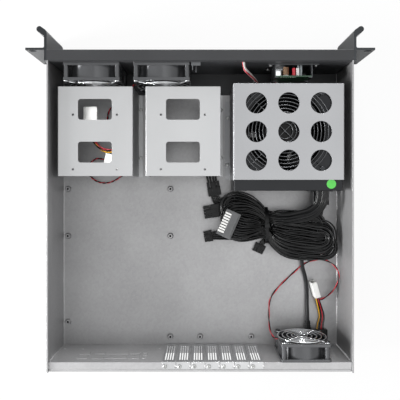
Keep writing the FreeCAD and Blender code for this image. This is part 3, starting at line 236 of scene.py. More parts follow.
LOOKS["screw"] = finish("zinc_screw", "a2a3a2", "c0c1c0", rough=0.3, metal=1.0, drift_mm=8, grain_mm=0.3,
                        bump=0.06, edge_mm=0.15)
LOOKS["blackened"] = finish("blackened_screw", "2b2c2e", "3b3c3e", rough=0.34, metal=1.0, drift_mm=8,
                            grain_mm=0.3, bump=0.06, edge_mm=0.15)
print(len(LOOKS), "metals and paints")

# %% [markdown]
# Fans are glossy moulded plastic with a very fine spark texture. Wire insulation is soft vinyl, less
# glossy, and plugs are nylon, which is faintly waxy.

# %% Plastics
LOOKS["fan"] = finish("fan_plastic", "0b0b0c", "131415", rough=0.2, drift_mm=40, grain_mm=0.35, bump=0.04,
                      edge_mm=0.3, shine=0.12)
LOOKS["fan_frame"] = finish("fan_frame_plastic", "4c4d4f", "5a5b5d", rough=0.24, metal=0.55, drift_mm=40,
                            grain_mm=0.35, bump=0.04, edge_mm=0.3)
LOOKS["black"] = finish("black_plastic", "090a0b", "121314", rough=0.3, drift_mm=30, grain_mm=0.3,
                        bump=0.12, shine=0.2)
LOOKS["cord"] = finish("cord_vinyl", "17181a", "222325", rough=0.36, drift_mm=25, grain_mm=0.6, bump=0.08,
                       edge_mm=0.2, shine=0.2)
LOOKS["wire_black"] = finish("wire_black", "08090a", "111213", rough=0.16, drift_mm=20, grain_mm=0.5,
                             bump=0.04, edge_mm=0.1, shine=0.34)
LOOKS["wire_red"] = finish("wire_red", "bd1f2e", "d43444", rough=0.34, drift_mm=20, grain_mm=0.5, bump=0.04,
                           edge_mm=0.1)
LOOKS["wire_yellow"] = finish("wire_yellow", "e5a916", "f2c036", rough=0.34, drift_mm=20, grain_mm=0.5,
                              bump=0.04, edge_mm=0.1)
LOOKS["wire_white"] = finish("wire_white", "d9d8d4", "e9e8e5", rough=0.34, drift_mm=20, grain_mm=0.5,
                             bump=0.04, edge_mm=0.1)
LOOKS["wire_pink"] = finish("wire_pink", "d88a92", "e3a0a6", rough=0.34, drift_mm=20, grain_mm=0.5,
                            bump=0.04, edge_mm=0.1)
LOOKS["nylon"] = finish("nylon_white", "f0f0ed", "fafaf8", rough=0.42, drift_mm=15, grain_mm=0.4, bump=0.06,
                        edge_mm=0.3)
LOOKS["nylon_grey"] = finish("nylon_grey", "5f6061", "6f7071", rough=0.45, drift_mm=15, grain_mm=0.4,
                             bump=0.08, edge_mm=0.3, shine=0.25)
LOOKS["board"] = finish("board_green", "17452a", "205a38", rough=0.35, drift_mm=10, grain_mm=0.5, bump=0.08,
                        edge_mm=0.2, coat=0.3)
LOOKS["seal"] = finish("seal_green", "52cd4c", "66dd60", rough=0.35, drift_mm=6, grain_mm=0.4, bump=0.05,
                       edge_mm=0.1)
LOOKS["button"] = finish("button_plastic", "26272a", "313236", rough=0.3, drift_mm=12, grain_mm=0.3,
                         bump=0.08, edge_mm=0.3)
LOOKS["lens"] = finish("light_pipe", "c9d3d6", "dbe4e6", rough=0.18, drift_mm=6, grain_mm=0.4, bump=0.03,
                       edge_mm=0.2, coat=0.5)
print(len(LOOKS), "finishes in all")

# %% Dress the CAD parts
CASE_FANS = ("front_fan_left", "front_fan_right", "rear_fan")
DRESS = {
    "tub": ["chassis_tub"],
    "rear": ["rear_panel"],
    "cage": ["drive_cage_left", "drive_cage_right"],
    "bracket": ["psu_bracket"],
    "dull": ["switch_bracket", "lid_tab"],
    "cover": [f"slot_cover_{i}" for i in range(1, 8)],
    "powder": ["front_frame", "front_bezel"],
    "ear": ["ear_handle_left", "ear_handle_right"],
    "supply": ["psu_case", "psu_cover"],
    "fan": [f"{fan}_rotor" for fan in (*CASE_FANS, "psu_fan")] + ["psu_fan_frame"],
    "fan_frame": [f"{fan}_frame" for fan in CASE_FANS],
    "chrome": [f"{fan}_guard" for fan in (*CASE_FANS, "psu_fan")] + ["twin_socket"],
    "screw": ["bracket_screws", "slot_screws"],
    "blackened": ["fan_bolts"],
    "board": ["switch_board"],
    "black": ["panel_switches", "psu_socket", "power_inlet", "mains_plug", "inlet_boot", "processor_plug",
              "drive_plugs"],
    "button": ["power_button", "reset_button"],
    "lens": ["status_lights"],
    "seal": ["green_seal"],
    "nylon": ["rear_fan_plugs", "front_fan_plugs"],
    "nylon_grey": ["main_plug"],
    "cord": ["power_cord", "cable_hank", "psu_cable_bundle"],
    "wire_red": ["rear_fan_lead", "rear_tail_lead", "front_left_lead", "front_right_lead",
                 "front_tail_lead"],
    "wire_white": ["front_panel_leads"],
}
dressed = 0
for look, names in DRESS.items():
    for name in names:
        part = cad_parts[name]
        for place in part.material_slots:
            place.material = LOOKS[look]
        if not part.material_slots:
            part.data.materials.append(LOOKS[look])
        dressed += 1
print(dressed, "CAD parts dressed of", len(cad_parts))

# %% [markdown]
# ## Plugs
# Power plugs are nylon blocks. On the mating side each contact has its own square finger with a hole,
# and a latch lies on top. A block is a bevelled box, and the fingers are smaller boxes whose front face
# is inset and pushed in, which leaves a real hole.


# %% A bevelled block and a plug with fingers
SMOOTH_BELOW = 0.6 * MM * MM


def block(bm, place, size, bevel=0.0004, look=0):
    """A box with softened edges, its middle at a place."""
    scale = Matrix.Diagonal((*size, 1.0))
    verts = bmesh.ops.create_cube(bm, size=1.0, matrix=place @ scale)["verts"]
    edges = list({e for v in verts for e in v.link_edges})
    faces = list({f for v in verts for f in v.link_faces})
    for face in faces:
        face.material_index = look
    bmesh.ops.bevel(bm, geom=edges, offset=bevel, segments=2, affect="EDGES", profile=0.5, material=-1)


def finger(bm, place, width, length, look=0):
    """A square tube, closed behind, whose open end looks along the place's own -Y."""
    scale = Matrix.Diagonal((width, length, width, 1.0))
    verts = bmesh.ops.create_cube(bm, size=1.0, matrix=place @ scale)["verts"]
    faces = list({f for v in verts for f in v.link_faces})
    front_way = (place.to_3x3() @ Vector((0, -1, 0))).normalized()
    for face in faces:
        face.material_index = look
        face.normal_update()
    front = max(faces, key=lambda f: f.normal.dot(front_way))
    bmesh.ops.inset_region(bm, faces=[front], thickness=width * 0.18, depth=0.0)
    pushed = bmesh.ops.extrude_discrete_faces(bm, faces=[front])["faces"]
    bmesh.ops.translate(bm, verts=pushed[0].verts, vec=-front_way * length * 0.7)


def keep(name, bm, looks):
    """Makes a piece of a finished bmesh, with its looks, riding on the case. Small faces are smooth."""
    mesh = bpy.data.meshes.new(name)
    bmesh.ops.recalc_face_normals(bm, faces=bm.faces)
    bm.to_mesh(mesh)
    bm.free()
    for look in looks:
        mesh.materials.append(LOOKS[look])
    for face in mesh.polygons:
        face.use_smooth = face.area < SMOOTH_BELOW
    piece = bpy.data.objects.new(name, mesh)
    bpy.context.scene.collection.objects.link(piece)
    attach(piece, "case")
    print(name, len(mesh.polygons), "faces")
    return piece


def at(x, y, z, turn=0.0):
    """A place in millimetres, turned about the upright by an angle in degrees."""
    return Matrix.Translation((x * MM, y * MM, z * MM)) @ Matrix.Rotation(math.radians(turn), 4, "Z")


def power_plug(bm, place, w, d, h, poles, rows, pale=(), latched=True):
    """A plug of that width, depth and height in millimetres. Columns in pale have undyed fingers."""
    reach = d * 0.42
    block(bm, place @ at(0, reach / 2, h / 2), (w * MM, (d - reach) * MM, h * MM), 0.0005)
    cell, level = w / poles, h / rows
    for i in range(poles):
        for k in range(rows):
            tone = 1 if i in pale and k == rows - 1 else 0
            thick = min(cell, level) * (0.66 if tone else 0.86)
            cell_at = at((i - (poles - 1) / 2) * cell, (reach - d) / 2, (k + 0.5) * level)
            finger(bm, place @ cell_at, thick * MM, reach * MM, tone)
    if latched:
        latch_size = (min(6.0, w * 0.3) * MM, d * 0.62 * MM, 1.3 * MM)
        block(bm, place @ at(0, -d * 0.08, h + 0.8), latch_size, 0.0003)
    block(bm, place @ at(0, d * 0.36, h + 0.2), (w * 0.86 * MM, 1.2 * MM, 0.8 * MM), 0.0002)


def plug_piece(name, node, shape, looks):
    """One plug, made by a shape that takes a bmesh, standing for its place in a CAD node."""
    bm = bmesh.new()
    shape(bm)
    piece = keep(name, bm, looks)
    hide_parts(node)
    return piece


# The height in millimetres at which plugs lie, just above the floor's sheet
ON_FLOOR = 1.2
MAIN_PLUG_AT = at(-41.7, 37.3, 35.3, 66)
main_plug = plug_piece(
    "main_plug_body", "main_plug",
    lambda bm: power_plug(bm, MAIN_PLUG_AT, 40.0, 22.0, 9.6, poles=10, rows=2, pale=range(1, 9),
                          latched=False),
    ["nylon_grey", "nylon"])
processor_plug = plug_piece(
    "processor_plug_body", "processor_plug",
    lambda bm: power_plug(bm, at(-18.5, 20.0, ON_FLOOR, 100), 20.0, 26.0, 9.6, poles=4, rows=2),
    ["black"])
# Place, width, depth, height and number of poles
drive_sizes = [(at(-21.0, -14.5, ON_FLOOR, 10), 20.0, 22.0, 8.0, 4),
               (at(-12.5, 58.5, ON_FLOOR, 100), 17.0, 13.0, 6.0, 5),
               (at(-90.5, 77.0, ON_FLOOR, 155), 17.0, 14.0, 6.0, 4)]


def pronged(bm):
    """The first drive plug, whose four fingers are long, of uneven length and slightly fanned."""
    power_plug(bm, *drive_sizes[0], rows=1)
    for k, (x, length, turn) in enumerate([(-5.2, 15, 4), (-1.4, 19, 1), (2.6, 21, -3), (6.4, 18, -6)]):
        root = drive_sizes[0][0] @ at(x, -10.5, 4.2 + 0.4 * k, -turn)
        finger(bm, root @ Matrix.Translation((0, -length / 2 * MM, 0)), 3.1 * MM, length * MM)


drive_plugs = [plug_piece("drive_plug_1", "drive_plugs", pronged, ["black"])]
for k, size in enumerate(drive_sizes[1:], 2):
    drive_plugs.append(plug_piece(f"drive_plug_{k}", "drive_plugs",
                                  lambda bm: power_plug(bm, *size, rows=1), ["black"]))

# %% [markdown]
# The fans' plugs are open shells with four round pins inside. They are white nylon, except the one under
# the rear fan, which is coloured black as painted shade.


# %% White four-pole plugs
POLE_PITCH = 5.08


def white_plug(bm, place):
    """A shell 21 mm wide, open at the mating end, with four pins in it and a rail along each side of its
    top.
    """
    before = set(bm.faces)
    block(bm, place @ Matrix.Translation((0, 0, 0.0043)), (0.021, 0.024, 0.0086), 0.0008)
    front_way = (place.to_3x3() @ Vector((0, -1, 0))).normalized()
    fresh = [f for f in bm.faces if f not in before]
    for face in fresh:
        face.normal_update()
    front = max(fresh, key=lambda f: f.normal.dot(front_way) * f.calc_area())
    bmesh.ops.inset_region(bm, faces=[front], thickness=0.0011, depth=0.0)
    pushed = bmesh.ops.extrude_discrete_faces(bm, faces=[front])["faces"]
    bmesh.ops.translate(bm, verts=pushed[0].verts, vec=-front_way * 0.013)
    for i in range(4):
        pin = at((i - 1.5) * POLE_PITCH, -4.5, 4.3) @ Matrix.Rotation(math.pi / 2, 4, "X")
        made = bmesh.ops.create_cone(bm, cap_ends=True, segments=10, radius1=0.0011, radius2=0.0008,
                                     depth=0.013, matrix=place @ pin)
        for face in {f for v in made["verts"] for f in v.link_faces}:
            face.material_index = 1
    for side in (-1, 1):
        rail = Matrix.Translation((side * 0.0085, 0.004, 0.0088))
        block(bm, place @ rail, (0.0016, 0.014, 0.0009), 0.0002)


# Stands a plug on its edge, turned about its own middle
edge_on = at(0, 0, 4.3) @ Matrix.Rotation(math.pi / 2, 4, "Y") @ at(0, 0, -4.3)
white_places = {"rear_fan_plugs": [at(-174.5, 138.5, 7.4, 15.4) @ edge_on,
                                   at(-184.2, 213.3, ON_FLOOR, 180)],
                "front_fan_plugs": [at(168.0, -128.0, ON_FLOOR), at(134.7, -56.5, ON_FLOOR, 78)]}
shells = {}
for node, places in white_places.items():
    shells[node] = [plug_piece(f"{node}_shell_{k}", node, lambda bm, place=place: white_plug(bm, place),
                               ["nylon", "screw"]) for k, place in enumerate(places, 1)]
rear_a, rear_plug_in_painted_shade = shells["rear_fan_plugs"]
# The second rear plug lies in the shade under the rear fan, and its black plastic there is painted shade.
rear_plug_in_painted_shade.data.materials[0] = LOOKS["black"]
front_a, front_b = shells["front_fan_plugs"]

# %% [markdown]
# ## Wires and cords
# Each lead is a bunch of separate insulated wires. A smooth line is laid through points chosen along
# the real lead, and every wire runs beside that line at its own place across the bunch, turning
# slowly round it. Wires made this way bend together but never merge into a thick tube.


# %% A cord's smooth line
def line_of(name, points):
    """Points along the smooth line of a cord, read from its NURBS spline."""
    curve = bpy.data.curves.new(name, "CURVE")
    curve.dimensions = "3D"
    curve.resolution_u = 7
    spline = curve.splines.new("NURBS")
    spline.points.add(len(points) - 1)
    for point, place in zip(spline.points, points):
        point.co = (*place, 1)
    spline.order_u = 3
    spline.use_endpoint_u = True
    holder = bpy.data.objects.new(name, curve)
    mesh = bpy.data.meshes.new_from_object(holder)
    line = [v.co.copy() for v in mesh.vertices]
    bpy.data.objects.remove(holder)
    bpy.data.curves.remove(curve)
    bpy.data.meshes.remove(mesh)
    return line


def length_of(line):
    return sum((b - a).length for a, b in zip(line, line[1:]))


def carried(line):
    """A sideways and an upward direction at each point, carried along so that they never jump."""
    frames = []
    side = None
    for i, point in enumerate(line):
        along = (line[min(i + 1, len(line) - 1)] - line[max(i - 1, 0)]).normalized()
        level = along.cross(Vector((0, 0, 1)))
        if side is None:
            side = level.normalized() if level.length > 0.1 else Vector((1, 0, 0))
        if side.dot(level) < 0:
            level = -level
        side = side + 0.2 * level
        side = (side - along * side.dot(along)).normalized()
        frames.append((point, side, side.cross(along)))
    return frames


print("a straight line of", len(line_of("test", [(0, 0, 0), (0, 0, 0.1), (0, 0, 0.2)])), "points")


# %% Wires beside a line
def piece_of(name, holder):
    """Keeps a curve as a mesh piece that rides on the case."""
    mesh = bpy.data.meshes.new_from_object(holder)
    mesh.name = name
    curve = holder.data
    bpy.data.objects.remove(holder)
    bpy.data.curves.remove(curve)
    for face in mesh.polygons:
        face.use_smooth = True
    piece = bpy.data.objects.new(name, mesh)
    bpy.context.scene.collection.objects.link(piece)
    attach(piece, "case")
    return piece


def wires(name, line, across, radius, looks, turns=0.0, spread=None, stray=0.0):
    """Parallel wires along a line. across gives each wire's place in the bunch, sideways and up, and
    stray is how far a wire wanders from its place on the way."""
    curve = bpy.data.curves.new(name, "CURVE")
    curve.dimensions = "3D"
    curve.bevel_depth = radius
    curve.bevel_resolution = 2
    curve.use_fill_caps = True
    for look in looks:
        curve.materials.append(LOOKS[look])
    frames = carried(line)
    for k, (a, b) in enumerate(across):
        spline = curve.splines.new("POLY")
        spline.points.add(len(line) - 1)
        spline.material_index = k % len(looks)
        for i, (point, side, up) in enumerate(frames):
            along = i / (len(frames) - 1)
            turn = 2 * math.pi * turns * along
            wide = spread(point, along) if spread else 1.0
            x = (a * math.cos(turn) - b * math.sin(turn)) * wide
            y = (a * math.sin(turn) + b * math.cos(turn)) * wide
            roam = stray * min(1.0, 9 * along, 9 * (1 - along)) * min(1.0, wide * wide)
            x += roam * math.sin(23 * along + 2.4 * k)
            y += roam * math.cos(17 * along + 4.1 * k)
            spline.points[i].co = (*(point + side * x + up * y), 1)
    return piece_of(name, bpy.data.objects.new(name, curve))


print("wires are made as bevelled lines")

# %% [markdown]
# The front fans' leads run on the floor under the left cage: a red and black pair from each motor,
# joined at white four-pole plugs, with a tail of four wires between the two plugs.

# %% Front fan leads
PAIR = [(-0.0007, 0.0), (0.0007, 0.0)]
FOUR = [(-0.0016, 0.0), (0.0, 0.0014), (0.0016, 0.0), (0.0, -0.0014)]
left_points = [(0.1114, -0.1677, 0.012), (0.1055, -0.1677, 0.012), (0.104, -0.160, 0.006),
               (0.109, -0.152, 0.0036), (0.121, -0.147, 0.0036), (0.134, -0.1425, 0.0036),
               (0.142, -0.132, 0.0036), (0.1425, -0.118, 0.0036), (0.149, -0.107, 0.0036),
               (0.160, -0.104, 0.0044), (0.164, -0.109, 0.005), (0.164, -0.116, 0.005)]
right_points = [(0.0936, -0.1677, 0.040), (0.0995, -0.1677, 0.040), (0.1005, -0.160, 0.024),
                (0.102, -0.148, 0.010), (0.106, -0.136, 0.0036), (0.108, -0.120, 0.0036),
                (0.103, -0.104, 0.0036), (0.099, -0.086, 0.0036), (0.0995, -0.064, 0.0036),
                (0.109, -0.044, 0.0036), (0.126, -0.029, 0.0036), (0.143, -0.022, 0.0036),
                (0.160, -0.025, 0.0036), (0.172, -0.036, 0.0036), (0.173, -0.0505, 0.0036),
                (0.162, -0.060, 0.004), (0.155, -0.0611, 0.005), (0.1465, -0.059, 0.005)]
tail_points = [(0.171, -0.116, 0.005), (0.171, -0.108, 0.005), (0.167, -0.094, 0.0042),
               (0.158, -0.080, 0.0042), (0.146, -0.0715, 0.0042), (0.127, -0.0735, 0.0042),
               (0.1095, -0.0715, 0.0042), (0.1030, -0.061, 0.0042), (0.1055, -0.051, 0.0044),
               (0.113, -0.0519, 0.005), (0.1229, -0.054, 0.005)]


def lead(name, points, across, radius, looks, turns,
         spread=None, stray=0.0, instead=()):
    """A lead of several wires along a line, whose length is printed."""
    line = line_of(name, points)
    piece = wires(name, line, across, radius, looks, turns, spread, stray)
    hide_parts(*instead)
    print(name, round(length_of(line) * 1000), "mm")
    return piece


PAIR_LOOKS = ["wire_red", "wire_black"]
lead("front_left_pair", left_points, PAIR, radius=0.0007, looks=PAIR_LOOKS, turns=9,
     instead=["front_left_lead"])
lead("front_right_pair", right_points, PAIR, radius=0.0007, looks=PAIR_LOOKS, turns=20,
     instead=["front_right_lead"])
front_tail = lead("front_tail_wires", tail_points, FOUR, radius=0.0009,
                  looks=["wire_yellow", "wire_red", "wire_red", "wire_black"], turns=1.2,
                  spread=lambda p, along: 1.0 + 0.4 * math.sin(math.pi * along),
                  instead=["front_tail_lead"])

# %% [markdown]
# White nylon under the cage catches far more of the light that falls through the windows than the
# metal round it does. A lamp above the windows that only reaches those plugs and wires stands for that.

# %% Light through the windows
print("window lamp", lamp("window", (0.150, -0.105, 1.4), size=0.3, power=18), "W")
beneath = bpy.data.collections.new("beneath_the_windows")
for piece in (front_a, front_b, front_tail):
    beneath.objects.link(piece)
bpy.data.objects["window"].light_linking.receiver_collection = beneath

# %% [markdown]
# The rear fan's pair drops to the floor, crosses under the mains cord and curls up against the wall
# before it comes back to its plug. Four wires of the second plug run on under the fan.

# %% Rear fan leads
rear_points = [(-0.112, 0.2025, 0.050), (-0.1065, 0.2025, 0.050), (-0.105, 0.200, 0.022),
               (-0.1056, 0.188, 0.0046), (-0.1058, 0.172, 0.0025), (-0.107, 0.156, 0.0025),
               (-0.116, 0.142, 0.0025), (-0.130, 0.1275, 0.0025), (-0.1455, 0.1135, 0.0025),
               (-0.158, 0.102, 0.0025), (-0.173, 0.0955, 0.003), (-0.189, 0.0935, 0.007),
               (-0.203, 0.100, 0.016), (-0.2086, 0.112, 0.024), (-0.2078, 0.127, 0.022),
               (-0.202, 0.141, 0.013), (-0.1905, 0.1544, 0.005), (-0.1807, 0.157, 0.0041),
               (-0.1789, 0.1506, 0.0041)]
rear_tail = [(-0.1777, 0.1505, 0.013), (-0.1794, 0.1566, 0.0126), (-0.1845, 0.170, 0.0055),
             (-0.1875, 0.183, 0.004), (-0.1842, 0.194, 0.005), (-0.1842, 0.2012, 0.005)]
lead("rear_fan_pair", rear_points, PAIR, radius=0.0007, looks=PAIR_LOOKS, turns=8,
     instead=["rear_fan_lead"])
ROW = [(-0.0027, 0.0), (-0.0009, 0.0), (0.0009, 0.0), (0.0027, 0.0)]
lead("rear_tail_wires", rear_tail, ROW, radius=0.0009,
     looks=["wire_black", "wire_red", "wire_black", "wire_yellow"], turns=0,
     spread=lambda p, along: 0.7 + 1.1 * along, instead=["rear_tail_lead"])

# %% [markdown]
# Thin leads of the front lights and switches leave the board, dip behind the bracket and go up and
# through the front wall. The mains cord is one round sheath, from the supply's plug to the inlet.

# %% Front panel leads and mains cord
panel_points = [(-0.1135, -0.1726, 0.0306), (-0.1135, -0.1662, 0.0306), (-0.107, -0.1648, 0.022),
                (-0.097, -0.1648, 0.015), (-0.089, -0.166, 0.024), (-0.082, -0.171, 0.044),
                (-0.074, -0.1755, 0.062), (-0.066, -0.1785, 0.075), (-0.0605, -0.1845, 0.080),
                (-0.0605, -0.1939, 0.080)]
SIX = [(-0.0012, 0.0006), (0.0, 0.0012), (0.0012, 0.0006), (-0.0012, -0.0006), (0.0, -0.0012),
       (0.0012, -0.0006)]
lead("front_panel_wires", panel_points, SIX, radius=0.00062,
     looks=["wire_white", "wire_white", "wire_pink", "wire_white", "wire_white", "wire_red"],
     turns=0.6, spread=lambda p, along: 1.3 if along < 0.9 else 1.0,
     instead=["front_panel_leads"])
mains_points = [(-0.180, 0.0276, 0.022), (-0.180, 0.036, 0.022), (-0.175, 0.050, 0.012),
                (-0.165, 0.066, 0.007), (-0.155, 0.086, 0.0074), (-0.156, 0.104, 0.0074),
                (-0.1615, 0.121, 0.005), (-0.164, 0.138, 0.0044), (-0.164, 0.160, 0.0052),
                (-0.164, 0.180, 0.009), (-0.164, 0.187, 0.009)]
lead("mains_cord", mains_points, [(0.0, 0.0)], radius=0.0029, looks=["cord"], turns=0,
     instead=["power_cord"])

# %% [markdown]
# ## The power supply's cables
# Five cables leave the supply as one bundle, cross to a tie, and are folded back and forth into a hank
# with a lobe on each side of the tie. Each is a flat ribbon of wires that spreads in the lobes and
# closes up at the tie. The hank is described by sections across it: a ribbon keeps its own place in
# those sections on the way out, turns round at the end of the lobe, and has another place coming back.

# %% Sections of the hank
# A section is its x, its middle and half width in y, and its middle and half height in z.
TIE_X = -0.099
TIE = (TIE_X, 0.040, 0.022, 0.0195, 0.0085)
LEFT_LOBE = [(-0.086, 0.035, 0.029, 0.021, 0.012), (-0.070, 0.033, 0.036, 0.021, 0.012),
             (-0.056, 0.032, 0.038, 0.019, 0.013)]
RIGHT_LOBE = [(-0.110, 0.044, 0.026, 0.021, 0.012), (-0.126, 0.050, 0.032, 0.0225, 0.012),
              (-0.150, 0.053, 0.034, 0.0225, 0.012), (-0.174, 0.057, 0.031, 0.0245, 0.010)]
# Where the five cables leave the supply
SUPPLY_EXIT = (-0.179, -0.0124, 0.048)


def spot(section, u, v):
    """A place in a section of the hank: u runs across it and v up, each from -1 to 1."""
    x, y, half_y, z, half_z = section
    return (x, y + u * half_y, z + v * half_z)


def fold(lobe, out, back, reach, lift=0.0):
    """Out along a lobe in one place of its sections, round the fold, and back in another."""
    way = math.copysign(1.0, lobe[-1][0] - lobe[0][0])
    near, far = reach - way * 0.010, reach
    lobe = [section for section in lobe if way * (near - section[0]) > 0.007]
    away = [spot(section, *out) for section in lobe]
    home = [spot(section, *back) for section in reversed(lobe)]
    y0, z0 = away[-1][1:]
    y1, z1 = home[0][1:]
    turn = [(near, y0, z0 + lift / 2), (far, y0 * 0.75 + y1 * 0.25, z0 * 0.75 + z1 * 0.25 + lift)]
    turn += [(far, y0 * 0.25 + y1 * 0.75, z0 * 0.25 + z1 * 0.75 + lift), (near, y1, z1 + lift / 2)]
    return away + turn + home


def bundle(a, b):
    """The way from the supply to the tie, in one place of the bundle: a across it and b up."""
    x, y, z = SUPPLY_EXIT
    points = [(x + a, y, z + b), (x + a, -0.001, z + b)]
    points += [(-0.175 + a * 0.8, 0.012 - a * 0.5, 0.044 + b), (-0.163 + a * 0.4, 0.023 - a, 0.039 + b)]
    points += [(-0.146, 0.0275 - a, 0.036 + b * 0.7), (-0.124, 0.032 - a, 0.033 + b * 0.5)]
    return points


def loose(point, along):
    """Wires close up at the tie and in the bundle, and spread in the lobes."""
    away = min(1.0, abs(point.x - TIE_X) / 0.040)
    wide = 0.62 + 0.62 * away * away * (3 - 2 * away)
    if along < 0.2:
        wide = min(wide, 0.62 + 2.5 * max(0.0, along - 0.12))
    return wide


print("tie section", TIE[:2])

# %% Routes of the five cables
RIBBON = [(i * 0.0022, 0.0009) for i in (-2, -1, 0, 1, 2)]
RIBBON += [(i * 0.0022, -0.0010) for i in (-1.5, -0.5, 0.5, 1.5)]
DOUBLE = [((i - 3) * 0.002, side * 0.00115) for i in range(7) for side in (-1, 1)]
main_route = bundle(-0.002, 0.004) + [spot(TIE, -0.4, 0.95)]
main_route += fold(LEFT_LOBE, (-0.55, 0.65), (0.30, 0.1), -0.040) + [spot(TIE, 0.3, 0.2)]
main_route += fold(RIGHT_LOBE, (0.15, 0.5), (0.85, 0.75), -0.195)
main_route += [spot(TIE, 0.45, 0.9), (-0.088, 0.0435, 0.0325)]
processor_route = bundle(0.005, 0.001) + [spot(TIE, -0.8, 0.6)]
processor_route += fold(LEFT_LOBE, (-0.95, 0.3), (-0.1, 0.45), -0.036) + [spot(TIE, 0.1, -0.1)]
processor_route += fold(RIGHT_LOBE, (-0.35, 0.9), (0.5, 1.0), -0.192) + [spot(TIE, -0.1, -0.5)]
processor_route += [spot(LEFT_LOBE[0], -0.3, -0.6), (-0.066, 0.020, 0.0085), (-0.050, 0.0185, 0.0065),
                    (-0.038, 0.0185, 0.006), (-0.0313, 0.0177, 0.006)]
first_route = bundle(-0.006, -0.004) + [spot(TIE, -0.2, 0.5)]
first_route += fold(LEFT_LOBE, (-0.2, -0.05), (0.75, -0.1), -0.044) + [spot(TIE, 0.7, -0.2)]
first_route += fold(RIGHT_LOBE, (1.0, 0.1), (-0.05, -0.1), -0.186) + [spot(TIE, -0.7, -0.2)]
first_route += [spot(LEFT_LOBE[0], -0.8, 0.0), (-0.068, 0.004, 0.014), (-0.050, 0.001, 0.010),
                (-0.039, 0.0045, 0.008), (-0.0285, 0.0068, 0.0061), (-0.0242, 0.0025, 0.0053),
                (-0.0229, -0.0037, 0.0052)]
second_route = bundle(0.001, -0.005) + [spot(TIE, 0.1, 0.6)]
second_route += fold(LEFT_LOBE, (-0.75, -0.4), (0.05, -0.6), -0.042) + [spot(TIE, 0.4, -0.6)]
second_route += fold(RIGHT_LOBE, (-0.85, 0.45), (0.30, 0.0), -0.183) + [spot(TIE, 0.7, 0.3)]
second_route += [spot(LEFT_LOBE[0], 0.8, -0.2), (-0.068, 0.060, 0.014), (-0.050, 0.0575, 0.008),
                 (-0.034, 0.0575, 0.0045), (-0.0189, 0.0574, 0.0042)]
third_route = bundle(0.006, -0.004) + [spot(TIE, -0.6, 0.1)]
third_route += fold(LEFT_LOBE, (-0.5, -0.8), (0.45, -0.8), -0.046) + [spot(TIE, 0.2, -0.9)]
third_route += fold(RIGHT_LOBE, (0.65, 0.2), (-0.60, 0.2), -0.197)[:-1]
third_route += [(-0.118, 0.034, 0.012), (-0.113, 0.048, 0.0075), (-0.104, 0.060, 0.0045),
                (-0.0935, 0.0707, 0.0042)]

# %% [markdown]
# Between the tie and the grey plug the main cable opens like a fan, because its twenty wires go to
# contacts four millimetres apart.


# %% Fan of wires behind the main plug
def fan_of_leads():
    """Twenty wires from the end of the main cable to the back of the grey plug."""
    curve = bpy.data.curves.new("main_plug_leads", "CURVE")
    curve.dimensions = "3D"
    curve.bevel_depth = 0.0009
    curve.bevel_resolution = 2
    curve.resolution_u = 6
    curve.use_fill_caps = True
    curve.materials.append(LOOKS["wire_black"])
    for i in range(10):
        for k in range(2):
            across = (i - 4.5) / 4.5
            column = (i - 4.5) * 0.0037
            start = Vector((-0.091, 0.0425 + across * 0.0055, 0.0325 + k * 0.0018))
            pin = MAIN_PLUG_AT @ Vector((column, 0.0085, 0.0024 + k * 0.0048))
            uneven = 0.002 * math.sin(i * 2.4 + k)
            behind = MAIN_PLUG_AT @ Vector((column, 0.0185 + uneven, 0.0024 + k * 0.0055))
            raised = 0.003 + 0.001 * math.sin(i * 1.7 + k * 2)
            middle = start.lerp(behind, 0.5) + Vector((0, across * 0.004, raised))
            spline = curve.splines.new("NURBS")
            spline.points.add(3)
            for point, place in zip(spline.points, (start, middle, behind, pin)):
                point.co = (*place, 1)
            spline.order_u = 3
            spline.use_endpoint_u = True
    return piece_of("main_plug_leads", bpy.data.objects.new("main_plug_leads", curve))


main_leads = fan_of_leads()
print("leads", len(main_leads.data.polygons), "faces")


# %% Lay the five cables
def cable(name, route, across, diameter, instead=()):
    """One of the supply's cables, all of which leave it at the same place."""
    lead(name, route, across, radius=0.00112, looks=["wire_black"], turns=0.0,
         spread=loose, stray=diameter * 0.10,
         instead=instead)


FLAT = 0.011
cable("main_cable", main_route, DOUBLE, 0.014, ["cable_hank", "psu_cable_bundle"])
cable("processor_cable", processor_route, RIBBON, FLAT)
cable("first_drive_cable", first_route, RIBBON, FLAT)
cable("second_drive_cable", second_route, RIBBON, FLAT)
cable("third_drive_cable", third_route, RIBBON, FLAT)

# %% [markdown]
# A black tie pulls the hank together at its waist.

# %% Cable tie
bm = bmesh.new()
band = Matrix.Translation((TIE_X, 0.0405, 0.0205)) @ Matrix.Diagonal((1.0, 0.0265, 0.0158, 1.0))
band = band @ Matrix.Rotation(math.pi / 2, 4, "Y")
bmesh.ops.create_cone(bm, cap_ends=False, segments=48, radius1=1.0, radius2=1.0, depth=0.0046, matrix=band)
bmesh.ops.recalc_face_normals(bm, faces=bm.faces)
bmesh.ops.solidify(bm, geom=bm.faces[:], thickness=-0.0011)
block(bm, at(-99.0, 40.0, 37.2, 12), (0.0075, 0.0070, 0.0042), 0.0006)
block(bm, at(-99.0, 50.5, 37.4, 8) @ Matrix.Rotation(-0.12, 4, "X"), (0.0042, 0.016, 0.0011), 0.0003)
tie = keep("hank_tie", bm, ["black"])

# %% [markdown]
# ## Fan guards
# Finger guards are rings of round chromed wire, welded on two bars that end in an eye at each bolt.
# The rings are circles of a few points spun about the fan's axis, so they are round in section.


# %% Wire rings, bars and eyes
def wire_ring(bm, place, radius, wire, steps=44):
    """A round wire bent into a ring about the place's own z."""
    section = Matrix.Translation((radius, 0, 0)) @ Matrix.Rotation(math.pi / 2, 4, "X")
    made = bmesh.ops.create_circle(bm, cap_ends=False, segments=7, radius=wire / 2, matrix=place @ section)
    edges = list({e for v in made["verts"] for e in v.link_edges})
    axis = (place.to_3x3() @ Vector((0, 0, 1))).normalized()
    bmesh.ops.spin(bm, geom=made["verts"] + edges, cent=place.translation, axis=axis, angle=2 * math.pi,
                   steps=steps, use_merge=True, use_duplicate=False)


